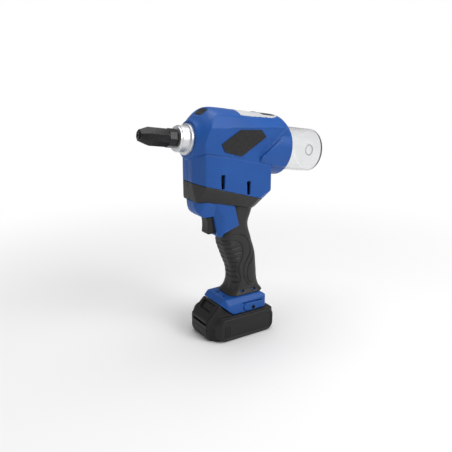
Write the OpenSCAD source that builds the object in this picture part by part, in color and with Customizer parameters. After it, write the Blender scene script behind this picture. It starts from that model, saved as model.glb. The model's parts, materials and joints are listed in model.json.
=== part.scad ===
// Battery rivet tool: barrel with pulling head, motor body, pistol grip,
// foot, sliding battery pack and clear collector bottle.
// Lengths are millimetres. The nose points to -X, +Z is up and the origin
// is the middle of the battery's base.

/* [Barrel] */
// Upward tilt of the barrel in degrees
tilt = 8.86; // [4:0.02:12]

/* [Nose] */
// Radius of the mandrel bore in the nosepiece
mandrel_r = 1.6; // [1:0.05:2.2]
// Radius of the nosepiece head
nosepiece_head_r = 4.6; // [4.2:0.1:5.5]
// Length of the nosepiece head
nosepiece_head_len = 1.2; // [0.8:0.1:2]
// Radius of the nosepiece thread
nosepiece_r = 3.6; // [3:0.1:3.8]
// Length of the nosepiece behind its head
nosepiece_len = 17.6; // [15:0.1:18]
// Corner radius of the octagonal nose at its tip
nose_tip_r = 7.6; // [6.5:0.1:9]
// Corner radius of the octagonal nose
nose_r = 12.45; // [11.8:0.05:13.5]
// Length of the nose cone
nose_cone_len = 13.2; // [10:0.1:14]
// Length of the nose housing in front of the lock nut
nose_len = 38.8; // [34:0.1:42]
// Length of the thread behind the nose housing
nose_thread_len = 23.5; // [20:0.1:24]
// Length of the lock nut
lock_nut_len = 11.7; // [9:0.1:13]

/* [Collar] */
// Free thread between lock nut and collar
collar_gap = 1.2; // [0.5:0.1:3]
// Radius of the collar
collar_r = 17.6; // [16:0.1:19]
// Radius of the collar's front lip
collar_lip_r = 16.4; // [14:0.1:17]
// Length of the collar's front lip
collar_lip_len = 2.4; // [1:0.1:4]
// Length of the collar in front of its flange
collar_len = 13.5; // [11:0.1:16]
// Radius of the collar's flange
flange_r = 20.7; // [19:0.1:22]
// Thickness of the collar's flange
flange_len = 3.8; // [2:0.1:5]
// Radius of the collar's tail inside the housing
tail_r = 15.5; // [14:0.1:16.5]

/* [Pulling head] */
// Stroke of the spindle
stroke = 25; // [15:0.5:26]
// Radius of the jaw case
case_r = 8.2; // [7.9:0.05:8.25]
// Length of the pusher spring's room in the jaw case
spring_room = 8.2; // [7.6:0.1:10]
// Cone angle of the jaws
cone_angle = 7.5; // [5:0.1:8.5]
// Length of the jaws
jaw_len = 14; // [10:0.1:14.5]
// Axial travel of the jaws
jaw_travel = 2; // [1:0.1:2]
// Radius of the jaws' grip bore at rest
jaw_bore_r = 1.9; // [1.7:0.05:2.1]
// Radius of the bore through the spindle
spindle_bore_r = 2.6; // [2:0.1:3]
// Length of the spindle behind the jaw case
spindle_len = 120; // [110:0.5:121]
// Radius of the mandrel tube
tube_r = 5.2; // [4:0.1:5.5]

/* [Drive] */
// Pitch radius of the nut gear
nut_pitch_r = 21; // [20:0.1:22]
// Teeth of the nut gear
nut_teeth = 42; // [40:1:43]
// Teeth of the idler
idler_teeth = 18; // [16:2:18]
// Teeth of the drive pinion
pinion_teeth = 14; // [13:1:15]
// Pitch radius of the ring gear
ring_pitch_r = 18; // [17:0.1:18.5]
// Teeth of the sun gear
sun_teeth = 15; // [12:3:15]
// Teeth of each planet gear
planet_teeth = 15; // [9:6:15]
// Width of the drive gears
gear_len = 10; // [7:0.1:11]
// Thickness of the gear frame's plates
plate_len = 10; // [9:0.1:11]
// Outer radius of the nut bearings
bearing_r = 18; // [16:0.1:19]
// Width of the nut bearings
bearing_len = 8; // [6:0.1:8.5]
// Radius of the nut's bearing journals
journal_r = 12; // [11:0.1:12.5]
// Radius of the rotor
rotor_r = 9.8; // [8:0.1:11]

/* [Head] */
// Radius of the arched top of the head
dome_r = 45.5; // [44:0.1:47]
// Half width of the arched top
top_half_w = 25.5; // [23:0.1:28]
// Wall of the moulded shells
wall = 2.6; // [2:0.1:3]
// Thickness of the soft grip
skin = 2; // [1.5:0.1:2.4]

/* [Motor body] */
// Distance of the body's front in front of the battery's middle
lower_front = 73.3; // [71:0.1:75]
// Half width of the body
lower_half_w = 33; // [32:0.1:34.5]
// Height of the grip band's upper edge at the front over the body's lowest edge
band_front_h = 46.5; // [44:0.1:49]
// Slope of the grip band's upper edge in degrees
band_slope = 17.2; // [15:0.1:19]
// Half width of the trigger bracket
bracket_half_w = 20; // [19.4:0.1:21.5]

/* [Trigger] */
// Half width of the trigger
trigger_half_w = 9; // [7.5:0.1:9.6]
// Height of the trigger
trigger_h = 24.6; // [20:0.1:25]
// Depth of the trigger's blade
trigger_depth = 14.4; // [12:0.1:15]
// Travel of the trigger
trigger_travel = 6; // [3:0.1:6.5]
// Radius of the switch plunger on the trigger
plunger_r = 3; // [2:0.1:4]

/* [Handle] */
// Half depth of the handle at its widest station
handle_half_d = 24.8; // [23.5:0.1:26]
// Half width of the handle at its widest station
handle_half_w = 18.5; // [17.8:0.1:20]
// Corner radius of the handle's section
handle_corner_r = 13; // [11:0.1:14]
// Height of the handle from the foot to the body
handle_h = 127; // [125:0.5:130]

/* [Foot] */
// Half width of the foot
foot_half_w = 32; // [31:0.1:33]
// Distance of the foot's rear behind the battery's middle
foot_rear = 40; // [39:0.1:42]
// Radius of the threaded hole for a belt hook
hook_hole_r = 1.65; // [1.2:0.05:2]
// Depth of the threaded hole for a belt hook
hook_hole_len = 8; // [5:0.1:9]

/* [Battery] */
// Length of the battery pack
pack_len = 108; // [106:0.5:111]
// Half width of the battery pack with its side pads
pack_half_w = 39; // [38.6:0.1:40]
// Height of the pack's flat top under the foot
pack_h = 36; // [35.5:0.1:36.5]
// Height of the joint between the pack's two shells
pack_split = 17; // [13:0.5:20]
// Thickness of the side pads
pad_len = 3.4; // [2:0.1:3.5]
// Half width of the release button
latch_half_w = 14.3; // [10:0.1:15]
// Travel of the release button
latch_travel = 3; // [1:0.1:3]

/* [Bottle] */
// Radius of the collector bottle
bottle_r = 31.3; // [30:0.1:31.6]
// Wall of the collector bottle
bottle_wall = 1.8; // [1.2:0.1:2.5]
// Length of the bottle that stands out of the head
bottle_out = 65.3; // [50:0.1:90]
// Corner radius of the bottle's closed end
bottle_corner_r = 5; // [3:0.1:8]

/* [Control panel] */
// Half width of the control panel
panel_half_w = 21.5; // [16:0.1:22.5]
// Length of the control panel
panel_len = 71; // [60:0.5:75]
// Radius of the mode button
button_r = 3.8; // [2.5:0.1:4.5]
// Travel of the mode button
button_travel = 0.8; // [0.4:0.1:1]

/* [Hidden] */
$fn = 48;

// Clearances: same-body fit, running shaft, moving parts, round piece in a faceted hole,
// and the overrun of cuts
fit = 0.02;
run = 0.05;
gap = 0.4;
facet_fit = 0.15;
over = 1;
big = 400;
// Size of the corner grains that a hull is drawn through
grain = 0.04;

// Gears: the modules follow from a pitch radius, and the frame fits round the gears
addendum_share = 0.8;
dedendum_share = 1.25;
ring_teeth = sun_teeth + 2 * planet_teeth;
drive_module = 2 * nut_pitch_r / nut_teeth;
planet_module = 2 * ring_pitch_r / ring_teeth;
idler_drop = drive_module * (nut_teeth + idler_teeth) / 2;
motor_drop = idler_drop + drive_module * (idler_teeth + pinion_teeth) / 2;
post_r = 2.2;
plate_r = nut_pitch_r + addendum_share * drive_module + 2 * post_r + 2 * gap;
ring_wall = 3;
plate_low_r = ring_pitch_r + ring_wall;
motor_step = 0.5;
motor_r = plate_low_r - motor_step;

// Jaw case: as long as its jaws, pusher, spring and thread need
case_gap = 1.2;
case_front = 2;
case_thread_len = 8;
pusher_len = 5;
case_s = nosepiece_head_len + nosepiece_len + case_gap;
case_len = case_front + gap + jaw_len + gap + pusher_len + spring_room + case_thread_len;
case_end = case_s + case_len;
spindle_step = 0.2;
spindle_r = case_r - spindle_step;
nose_bore_r = case_r + gap;
thread_wall = 1.4;
nose_thread_r = nose_bore_r + thread_wall;
spindle_end = case_end + spindle_len;
pin_back = 12;
pin_s = spindle_end - pin_back;
pin_r = 2;

// Stations along the barrel, measured back from the nose tip
nut_s = nosepiece_head_len + nose_len;
collar_s = nut_s + lock_nut_len + collar_gap;
flange_s = collar_s + collar_len;
head_s = flange_s + flange_len;
front_wall = 3.8;
frame_back = 19.5;
frame_s = head_s + frame_back;
bearing_a_s = frame_s + plate_len - bearing_len;
gear_gap = 2;
gear_s = frame_s + plate_len + gear_gap;
cover_gap = 3;
cover_s = gear_s + gear_len + cover_gap;
cover_end = cover_s + plate_len;
lip_len = 2;
socket_len = 12.5;
head_room = 10.6;
socket_s = pin_s + pin_r + stroke + gap + head_room;
head_end = socket_s + socket_len + lip_len;
head_len = head_end - head_s;
socket_disc = 3.5;
seal_r = 0.95;
bottle_s = socket_s + socket_disc + 2 * seal_r + gap;
bottle_end = head_end + bottle_out;
tube_seat = 4;
tube_out = 6.5;
tube_len = socket_s + socket_disc + tube_out - spindle_end + tube_seat;

// Planetary stage and motor fill the room in front of the socket
carrier_gap = 0.5;
carrier_s = cover_end + carrier_gap;
carrier_len = 3;
planet_s = carrier_s + carrier_len + carrier_gap;
planet_len = 8;
ring_len = carrier_gap + carrier_len + carrier_gap + planet_len + 2 * carrier_gap;
ring_end = cover_end + ring_len;
motor_room = 26.3;
motor_len = socket_s - motor_room - ring_end;
case_back = ring_end + motor_len;
cap_len = 3;
fan_gap = 1.5;
fan_len = 6;
fan_s = case_back + cap_len + fan_gap;

// The head fits round the gear frame, its rear rim round the bottle's lugs
side_room = 4.4;
head_half_w = plate_r + wall + side_room;
lug_step = 2.3;
lug_r = bottle_r + lug_step;
pocket_room = 2.4;
pocket_r = lug_r + pocket_room;
rim_wall = 2.8;
rim_r = pocket_r + rim_wall;

// The foot holds the rail and the terminal room, and ends behind the pack's wedge
rail_neck_h = 3;
rail_head_h = 3;
rail_play = 0.35;
foot_box_h = 13;
foot_box_z = pack_h + rail_neck_h + rail_head_h + rail_play;
foot_roof = 3.35;
foot_top = foot_box_z + foot_box_h + foot_roof;
pack_front = -pack_len / 2;
foot_set = 17;
foot_front = pack_front + foot_set;
foot_len = foot_rear - foot_front;

// The motor body stands on the handle, reaches from the head's front to behind
// the fan, and carries the barrel
body_step = 1.3;
lower_bottom = foot_top + handle_h + body_step;
floor_room = 2.813;
motor_low = motor_drop + plate_low_r;
lower_h = (fan_s + fan_len) * sin(tilt) + motor_low * cos(tilt) + floor_room;
tip_rise = 14.9;
tip_height = lower_bottom + lower_h + tip_rise;
front_step = 0.9;
tip_reach = lower_front + head_s - front_step;
rear_room = 8.73;

// Side view place of a point on the barrel
function spot(s, h) = [
  s * cos(tilt) + h * sin(tilt) - tip_reach,
  tip_height - s * sin(tilt) + h * cos(tilt)
];
lower_rear = spot(fan_s + fan_len, -motor_drop)[0] + rear_room;

// Places a shape in the tilted barrel frame: local X runs back along the barrel
module barrel() {
  translate([-tip_reach, 0, tip_height]) rotate([0, tilt, 0]) children();
}

// A round bar along the barrel from station s, at height h over the spindle axis
module bar(s, len, r, h = 0, fn = 48) {
  translate([s, 0, h]) rotate([0, 90, 0]) cylinder(h = len, r = r, $fn = fn);
}

// A bored round bar along the barrel
module sleeve(s, len, r, bore, h = 0) {
  difference() {
    bar(s, len, r, h);
    bar(s - over, len + 2 * over, bore, h);
  }
}

// Keeps one half of the tool: side is -1 for left and 1 for right
module half(side) {
  difference() {
    children();
    translate([-big / 2, side < 0 ? 0 : -big, -big / 4]) cube([big, big, 2 * big]);
  }
}

// Draws a flat outline of [y, height] points along the barrel
module along(s, len) {
  translate([s, 0, 0]) rotate([90, 0, 90]) linear_extrude(height = len) children();
}

// Involute gears with teeth thinned for backlash
pressure_angle = 20;
flank_shares = [0, 0.35, 0.7, 1];
tooth_play = 0.12;
deg = 180 / PI;

function involute(a) = tan(a) * deg - a;
function flank_angle(r, base) = r <= base ? 0 : acos(base / r);
function half_tooth(m, z, r, play) =
  let (pitch_r = m * z / 2, base = pitch_r * cos(pressure_angle))
  90 / z + involute(pressure_angle) - involute(flank_angle(r, base)) - play / pitch_r * deg;
function gear_radii(m, z, top, root) =
  let (low = m * z / 2 - root * m, high = m * z / 2 + top * m)
  [for (f = flank_shares) low + f * (high - low)];
function gear_points(m, z, phase, top, root, play) =
  let (radii = gear_radii(m, z, top, root), n = len(radii))
  [for (k = [0 : z - 1]) for (i = [0 : 2 * n - 1])
    let (
      j = i < n ? i : 2 * n - 1 - i,
      side = i < n ? -1 : 1,
      a = phase + k * 360 / z + side * half_tooth(m, z, radii[j], play)
    )
    radii[j] * [cos(a), sin(a)]];

// A spur gear on the barrel's cross section; phase 0 has a tooth pointing down
module gear_disc(s, len, place, m, z, phase) {
  along(s, len) translate(place) rotate(-90)
    polygon(gear_points(m, z, phase, addendum_share, dedendum_share, tooth_play));
}

planet_orbit = planet_module * (sun_teeth + planet_teeth) / 2;
planet_count = 3;
idler_phase = 180 + 180 / idler_teeth;

// Nose, lock nut and collar
octagon = 8;
facet_turn = 180 / octagon;
module nosepiece() {
  color("dimgray") barrel() difference() {
    union() {
      bar(0, nosepiece_head_len, nosepiece_head_r);
      bar(0, nosepiece_head_len + nosepiece_len, nosepiece_r);
    }
    bar(-over, nosepiece_head_len + nosepiece_len + 2 * over, mandrel_r);
  }
}

module octagon_bar(s, len, r, turn) {
  translate([s, 0, 0]) rotate([turn, 0, 0]) rotate([0, 90, 0]) cylinder(h = len, r = r, $fn = octagon);
}

nose_wall = 13.4;
nut_wall = 2.6;
nut_wall_r = nose_thread_r + nut_wall;

module nose_housing() {
  front = nosepiece_head_len;
  color("dimgray") barrel() difference() {
    union() {
      rotate([facet_turn, 0, 0]) rotate([0, 90, 0]) rotate_extrude($fn = octagon) polygon([
        [0, front],
        [nose_tip_r, front],
        [nose_r, front + nose_cone_len],
        [nose_r, front + nose_len],
        [0, front + nose_len]
      ]);
      bar(nut_s - fit, nose_thread_len, nose_thread_r);
    }
    bar(front - over, nose_len, nosepiece_r + fit);
    bar(front + nose_wall, nose_len + nose_thread_len, nose_bore_r);
  }
}

module lock_nut() {
  color("dimgray") barrel() difference() {
    octagon_bar(nut_s, lock_nut_len, nut_wall_r, 0);
    bar(nut_s - over, lock_nut_len + 2 * over, nose_thread_r + fit);
  }
}

tail_end = bearing_a_s - gap;
tail_bore_r = nose_bore_r + gap;
thread_seat = nose_thread_len - lock_nut_len - collar_gap + gap;

module front_collar() {
  color("silver") barrel() difference() {
    union() {
      bar(collar_s, collar_lip_len + fit, collar_lip_r);
      bar(collar_s + collar_lip_len, collar_len - collar_lip_len + fit, collar_r);
      bar(flange_s, flange_len, flange_r);
      bar(head_s - fit, tail_end - head_s, tail_r);
    }
    bar(collar_s - over, thread_seat + over, nose_thread_r + fit);
    bar(collar_s, tail_end, tail_bore_r);
  }
}

// Pulling head: jaw case, three jaws, pusher and spring
case_hole_r = nosepiece_r + gap;
cone_s = case_s + case_front;
cone_r = 4.2;
cone_room = 2;
cone_len = jaw_len + jaw_travel + cone_room;
case_thread_r = 6.2;
jaw_play = 0.6;
jaw_split = 0.45;
jaw_s = cone_s + gap;
chamber_r = cone_r + cone_len * tan(cone_angle);
function cone_radius(s) = cone_r + (s - cone_s) * tan(cone_angle);

module taper(s, len, r1, r2) {
  translate([s, 0, 0]) rotate([0, 90, 0]) cylinder(h = len, r1 = r1, r2 = r2);
}

module jaw_case() {
  color("slategray") barrel() difference() {
    bar(case_s, case_len, case_r);
    bar(case_s - over, case_len, case_hole_r);
    taper(cone_s, cone_len + fit, cone_r, chamber_r);
    bar(cone_s + cone_len, case_len - case_front - cone_len - case_thread_len, chamber_r);
    bar(case_end - case_thread_len - over, case_thread_len + 2 * over, case_thread_r);
  }
}

// One third of the jaw cone, turned to its place round the barrel
module jaw(turn) {
  reach = 2 * case_r;
  tip = jaw_split / sin(60);
  color("lightslategray") barrel() rotate([turn, 0, 0]) difference() {
    intersection() {
      taper(jaw_s, jaw_len, cone_radius(jaw_s) - jaw_play, cone_radius(jaw_s + jaw_len) - jaw_play);
      along(jaw_s, jaw_len) polygon([
        [0, tip],
        [reach * sin(60), tip + reach * cos(60)],
        [reach * sin(60), 2 * reach],
        [-reach * sin(60), 2 * reach],
        [-reach * sin(60), tip + reach * cos(60)]
      ]);
    }
    bar(jaw_s - over, jaw_len + 2 * over, jaw_bore_r);
  }
}

jaw_count = 3;
module jaw_1() jaw(0);
module jaw_2() jaw(360 / jaw_count);
module jaw_3() jaw(2 * 360 / jaw_count);

pusher_s = jaw_s + jaw_len + gap;
pusher_r = 4.7;
pusher_bore_r = 2.4;
pusher_flange_len = 1.6;
spring_seat_r = 3.4;
spring_seat_len = 3.4;

module jaw_pusher() {
  color("gainsboro") barrel() difference() {
    union() {
      bar(pusher_s, pusher_len, pusher_r);
      bar(pusher_s + pusher_len - pusher_flange_len, pusher_flange_len, chamber_r - gap);
      bar(pusher_s, pusher_len + spring_seat_len, spring_seat_r);
    }
    bar(pusher_s - over, pusher_len + spring_seat_len + 2 * over, pusher_bore_r);
  }
}

// The pusher's spring is one helical wire, seated behind the pusher's flange
spring_wire_r = 0.5;
spring_r = 4.9;
spring_curls = 3;
spring_sides = 6;
spring_steps = 8;
spring_s = pusher_s + pusher_len + spring_wire_r + fit;
spindle_front = case_end - case_thread_len;
spring_pitch = (spindle_front - jaw_travel - gap - spring_wire_r - spring_s) / spring_curls;
function spring_point(i, j) =
  let (a = 360 * i / spring_steps, b = 360 * j / spring_sides, r = spring_r + spring_wire_r * cos(b))
  [spring_s + spring_pitch * i / spring_steps + spring_wire_r * sin(b), r * cos(a), r * sin(a)];
spring_rings = spring_curls * spring_steps;

module pusher_spring() {
  n = spring_sides;
  points = [for (i = [0 : spring_rings]) for (j = [0 : n - 1]) spring_point(i, j)];
  walls = [for (i = [0 : spring_rings - 1]) for (j = [0 : n - 1])
    let (a = i * n + j, b = i * n + (j + 1) % n)
    each [[a, b, b + n], [a, b + n, a + n]]];
  front = [for (j = [1 : n - 2]) [0, j + 1, j]];
  back = [for (j = [1 : n - 2]) spring_rings * n * [1, 1, 1] + [0, j, j + 1]];
  color("gray") barrel() polyhedron(points = points, faces = concat(walls, front, back));
}

// Spindle with its guide pins, and the tube that leads spent mandrels out
pin_seat = 4.5;
sleeve_r = 13;
sleeve_play = 0.6;
sleeve_bore_r = spindle_r + sleeve_play;

module spindle() {
  color("silver") barrel() difference() {
    union() {
      bar(spindle_front, case_thread_len + fit, case_thread_r - fit);
      bar(case_end, spindle_len, spindle_r);
    }
    bar(spindle_front - over, case_thread_len + spindle_len + 2 * over, spindle_bore_r);
    bar(spindle_end - tube_seat, tube_seat + over, tube_r + fit);
    for (side = [-1, 1]) guide_pin(side, pin_r + fit);
  }
}

module guide_pin(side, r) {
  translate([pin_s, side * pin_seat, 0]) rotate([-side * 90, 0, 0])
    cylinder(h = sleeve_r - gap - pin_seat, r = r);
}

module guide_pins() {
  color("gray") barrel() for (side = [-1, 1]) guide_pin(side, pin_r);
}

module guide_sleeve() {
  slot_s = pin_s - pin_r - gap;
  slot_len = stroke + 2 * pin_r + 2 * gap;
  color("darkgray") barrel() difference() {
    sleeve(cover_end, socket_s - cover_end, sleeve_r, sleeve_bore_r);
    translate([slot_s, -sleeve_r - over, -pin_r - gap])
      cube([slot_len, 2 * sleeve_r + 2 * over, 2 * pin_r + 2 * gap]);
  }
}

tube_wall = 1.6;

module mandrel_tube() {
  color("whitesmoke") barrel() sleeve(spindle_end - tube_seat, tube_len, tube_r, tube_r - tube_wall);
}

// Nut, its gear and its two bearings
nut_gear_seat = 1.5;
nut_gear_seat_r = journal_r + nut_gear_seat;
nut_clear = 0.6;
nut_s0 = bearing_a_s;
nut_end = cover_s + bearing_len;

module spindle_nut() {
  color("darkgray") barrel() difference() {
    union() {
      bar(nut_s0, nut_end - nut_s0, journal_r);
      bar(frame_s + plate_len + nut_clear, cover_s - frame_s - plate_len - 2 * nut_clear, nut_gear_seat_r);
    }
    bar(nut_s0 - over, nut_end - nut_s0 + 2 * over, spindle_r + run);
  }
}

module nut_gear() {
  color("dimgray") barrel() difference() {
    gear_disc(gear_s, gear_len, [0, 0], drive_module, nut_teeth, 0);
    bar(gear_s - over, gear_len + 2 * over, nut_gear_seat_r + fit);
  }
}

module front_bearing() {
  color("lightgray") barrel() sleeve(bearing_a_s, bearing_len, bearing_r, journal_r + run);
}

module rear_bearing() {
  color("lightgray") barrel() sleeve(cover_s, bearing_len, bearing_r, journal_r + run);
}

// Gear frame: a front plate with posts, and a rear cover plate
post_turn = 45;
post_low_turn = 100;
shaft_r = 3;
output_r = 5;
output_nose_r = 4;

module frame_plate(s) {
  union() {
    bar(s, plate_len, plate_r);
    bar(s, plate_len, plate_low_r, -motor_drop);
    translate([s, -plate_low_r, -motor_drop]) cube([plate_len, 2 * plate_low_r, motor_drop]);
  }
}

// Places the four posts round the gears
module at_posts() {
  high = plate_r - post_r - gap;
  low = plate_low_r - post_r - gap;
  for (side = [-1, 1]) {
    translate([0, side * high * sin(post_turn), high * cos(post_turn)]) children();
    translate([0, side * low * sin(post_low_turn), low * cos(post_low_turn) - motor_drop]) children();
  }
}

module gear_frame() {
  color("lightgray") barrel() difference() {
    union() {
      frame_plate(frame_s);
      at_posts() bar(frame_s + plate_len - fit, cover_s - frame_s - plate_len + fit, post_r);
    }
    bar(frame_s - over, plate_len + 2 * over, tail_r + fit);
    bar(bearing_a_s, bearing_len + over, bearing_r + fit);
    bar(frame_s - over, plate_len + 2 * over, shaft_r + fit, -idler_drop);
    bar(frame_s - over, plate_len + 2 * over, output_nose_r + run, -motor_drop);
  }
}

module gear_cover() {
  color("lightgray") barrel() difference() {
    frame_plate(cover_s);
    bar(cover_s - over, bearing_len + over, bearing_r + fit);
    bar(cover_s - over, plate_len + 2 * over, journal_r);
    bar(cover_s - over, plate_len + 2 * over, shaft_r + fit, -idler_drop);
    bar(cover_s - over, plate_len + 2 * over, output_r + run, -motor_drop);
  }
}

idler_side = 0.5;

module idler_gear() {
  color("dimgray") barrel() difference() {
    gear_disc(gear_s + idler_side, gear_len - 2 * idler_side, [0, -idler_drop],
      drive_module, idler_teeth, idler_phase);
    bar(gear_s - over, gear_len + 2 * over, shaft_r + run, -idler_drop);
  }
}

module idler_shaft() {
  color("gray") barrel() bar(frame_s, cover_end - frame_s, shaft_r, -idler_drop);
}

// Planetary stage: carrier with output shaft, three planets, sun and ring
carrier_rim = 3.4;
carrier_r = planet_orbit + carrier_rim;
planet_pin_r = 2;

function planet_place(k) =
  let (a = 360 * k / planet_count)
  [planet_orbit * sin(a), -planet_orbit * cos(a) - motor_drop];

module output_shaft() {
  color("darkgray") barrel() union() {
    bar(frame_s + fit, carrier_s - frame_s, output_nose_r, -motor_drop);
    bar(gear_s, carrier_s - gear_s + fit, output_r, -motor_drop);
    bar(carrier_s, carrier_len, carrier_r, -motor_drop);
    for (k = [0 : planet_count - 1])
      translate([carrier_s, planet_place(k)[0], planet_place(k)[1]])
        rotate([0, 90, 0]) cylinder(h = carrier_len + carrier_gap + planet_len, r = planet_pin_r);
  }
}

module drive_pinion() {
  color("dimgray") barrel() difference() {
    gear_disc(gear_s, gear_len, [0, -motor_drop], drive_module, pinion_teeth, 0);
    bar(gear_s - over, gear_len + 2 * over, output_r + fit, -motor_drop);
  }
}

module ring_gear() {
  color("gray") barrel() difference() {
    bar(cover_end, ring_len, motor_r, -motor_drop);
    bar(cover_end - over, over + planet_s - cover_end - carrier_gap / 2, carrier_r + gap, -motor_drop);
    along(cover_end, ring_len + over) translate([0, -motor_drop]) rotate(-90)
      polygon(gear_points(planet_module, ring_teeth, 0, dedendum_share, addendum_share, -tooth_play));
  }
}

module planet_gear(k) {
  a = 360 * k / planet_count;
  phase = a + 180 + 180 / planet_teeth;
  color("dimgray") barrel() difference() {
    gear_disc(planet_s, planet_len, planet_place(k), planet_module, planet_teeth, phase);
    translate([planet_s - over, planet_place(k)[0], planet_place(k)[1]])
      rotate([0, 90, 0]) cylinder(h = planet_len + 2 * over, r = planet_pin_r + run);
  }
}

module planet_gear_1() planet_gear(0);
module planet_gear_2() planet_gear(1);
module planet_gear_3() planet_gear(2);

// Motor: case, stator, rotor with sun gear and fan, and end cap
rotor_shaft_r = 2.5;
motor_plate = 3;
motor_wall = 2;
stator_end = 2;
rotor_end = 1;
rotor_gap = 0.5;
fan_r = 15;
fan_hub_r = 5;
fan_disc = 1.4;
fan_blades = 9;
blade_t = 1.2;

module sun_gear() {
  color("dimgray") barrel() difference() {
    gear_disc(planet_s, planet_len, [0, -motor_drop], planet_module, sun_teeth, 0);
    bar(planet_s - over, planet_len + 2 * over, rotor_shaft_r + fit, -motor_drop);
  }
}

module motor_rotor() {
  front = ring_end + motor_plate + stator_end + rotor_end;
  color("darkgray") barrel() union() {
    bar(planet_s, fan_s + fan_len - planet_s, rotor_shaft_r, -motor_drop);
    bar(front, case_back - front - stator_end - rotor_end, rotor_r, -motor_drop);
  }
}

module motor_stator() {
  front = ring_end + motor_plate + stator_end;
  color("peru") barrel()
    sleeve(front, case_back - front - stator_end, motor_r - motor_wall - fit, rotor_r + rotor_gap, -motor_drop);
}

module motor_case() {
  color("dimgray") barrel() difference() {
    bar(ring_end, motor_len, motor_r, -motor_drop);
    bar(ring_end + motor_plate, motor_len, motor_r - motor_wall, -motor_drop);
    bar(ring_end - over, motor_len, rotor_shaft_r + run, -motor_drop);
  }
}

module motor_end_cap() {
  color("dimgray") barrel() sleeve(case_back, cap_len, motor_r, rotor_shaft_r + run, -motor_drop);
}

module motor_fan() {
  color("black") barrel() difference() {
    translate([0, 0, -motor_drop]) union() {
      bar(fan_s, fan_len, fan_hub_r);
      bar(fan_s, fan_disc, fan_r);
      for (k = [0 : fan_blades - 1]) rotate([360 * k / fan_blades, 0, 0])
        translate([fan_s, -blade_t / 2, 0]) cube([fan_len, blade_t, fan_r - blade_t]);
    }
    bar(fan_s - over, fan_len + 2 * over, rotor_shaft_r + fit, -motor_drop);
  }
}

// Outer forms; each takes an inset so that skins and cavities follow it
dome_shares = [[0, 0.54], [0.019, 0.57], [0.12, 0.912], [0.154, 0.974], [0.2, 1], [0.92, 1], [0.955, 0.945]];
section_bevel_h = 37.8;
section_side_h = [18.6, 31.9];
section_low_h = [11.4, 23.8];
section_bottom_h = [27, 36.4];
section_bottom_shares = [0.79, 0.35];
diagonal_back = 47.5;
diagonal_s = head_end - diagonal_back;
diagonal_h = 11;
diagonal_turn = 40.6;

function dome_profile(inset) = concat(
  [[0, head_s]],
  [for (p = dome_shares) [p[1] * dome_r - inset, head_s + p[0] * head_len]],
  [[rim_r - inset - over, head_end - over], [0, head_end - over]]
);
function section_half(inset, side, end) = [
  [side * (top_half_w - inset), dome_r + over],
  [side * (top_half_w - inset), section_bevel_h - inset / 2],
  [side * (head_half_w - inset), section_side_h[end] - inset / 2],
  [side * (head_half_w - inset), -section_low_h[end]],
  for (k = [0, 1]) [side * (section_bottom_shares[k] * head_half_w - inset), inset - section_bottom_h[k]]
];
function backwards(list) = [for (i = [len(list) - 1 : -1 : 0]) list[i]];

// Head: a round dome cut by flat bevelled sides, whose edges spread towards the rear,
// with a round barrel behind a slanted step
module upper_form(inset) {
  union() {
    intersection() {
      rotate([0, 90, 0]) rotate_extrude($fn = 96) polygon(dome_profile(inset));
      hull() for (end = [0, 1]) along(head_s - over + end * (head_len + over), over)
        polygon(concat(section_half(inset, 1, end), backwards(section_half(inset, -1, end))));
    }
    difference() {
      bar(diagonal_s - rim_r, head_end - diagonal_s + rim_r, rim_r - inset, 0, 96);
      translate([diagonal_s, 0, -diagonal_h]) rotate([0, -diagonal_turn, 0])
        translate([-big / 2, -big / 2, -inset]) cube([big, big, big]);
    }
  }
}

// Motor body: corner points as shares of length, half width and height
lower_shares = [
  [0, 0.38, 1], [0.087, 0.94, 1], [0.37, 1, 1], [0.97, 1, 1], [1, 0.85, 1],
  [0, 0.38, 0.45], [0.087, 0.94, 0.42], [0.37, 1, 0.32], [0.8, 1, 0.165], [0.97, 1, 0.27], [1, 0.85, 0.27],
  [0.024, 0.3, 0.2], [0.062, 0.594, 0.184], [0.52, 0.64, 0.08], [0.84, 0.45, 0]
];

function lower_point(p, inset, side) = [
  inset - lower_front + p[0] * (lower_front + lower_rear - 2 * inset),
  side * p[1] * (lower_half_w - inset),
  lower_bottom + inset + p[2] * (lower_h - inset)
];

module lower_form(inset) {
  hull() for (p = lower_shares) for (side = [-1, 1])
    translate(lower_point(p, inset, side)) cube(grain, center = true);
}

// The half space below the slanted edge of the dark band
module below_band(lift) {
  translate([-lower_front, 0, lower_bottom + band_front_h + lift]) rotate([0, band_slope, 0])
    translate([-big / 2, -big / 2, -big]) cube([big, big, big]);
}

// Handle: stations as shares of height, then of half depth (centre, half depth) and half width
handle_shares = [
  [1.09, 0.36, 0.76, 0.7], [1, 0.242, 0.806, 0.919], [0.829, -0.048, 0.839, 0.919],
  [0.656, -0.014, 1, 0.973], [0.467, 0.282, 0.984, 1], [0.278, 0.516, 0.867, 0.973],
  [0.105, 0.548, 0.931, 1], [0, 0.504, 1.19, 1.243]
];

slice_h = 1;

module handle_slice(p, inset) {
  r = handle_corner_r - inset;
  dx = p[2] * handle_half_d - handle_corner_r;
  dy = p[3] * handle_half_w - handle_corner_r;
  for (sx = [-1, 1]) for (sy = [-1, 1])
    translate([p[1] * handle_half_d + sx * dx, sy * max(dy, grain), foot_top + p[0] * handle_h])
      cylinder(h = slice_h, r = r, $fn = 24);
}

module handle_form(inset) {
  for (i = [0 : len(handle_shares) - 2]) hull() {
    handle_slice(handle_shares[i], inset);
    handle_slice(handle_shares[i + 1], inset);
  }
}

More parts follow.
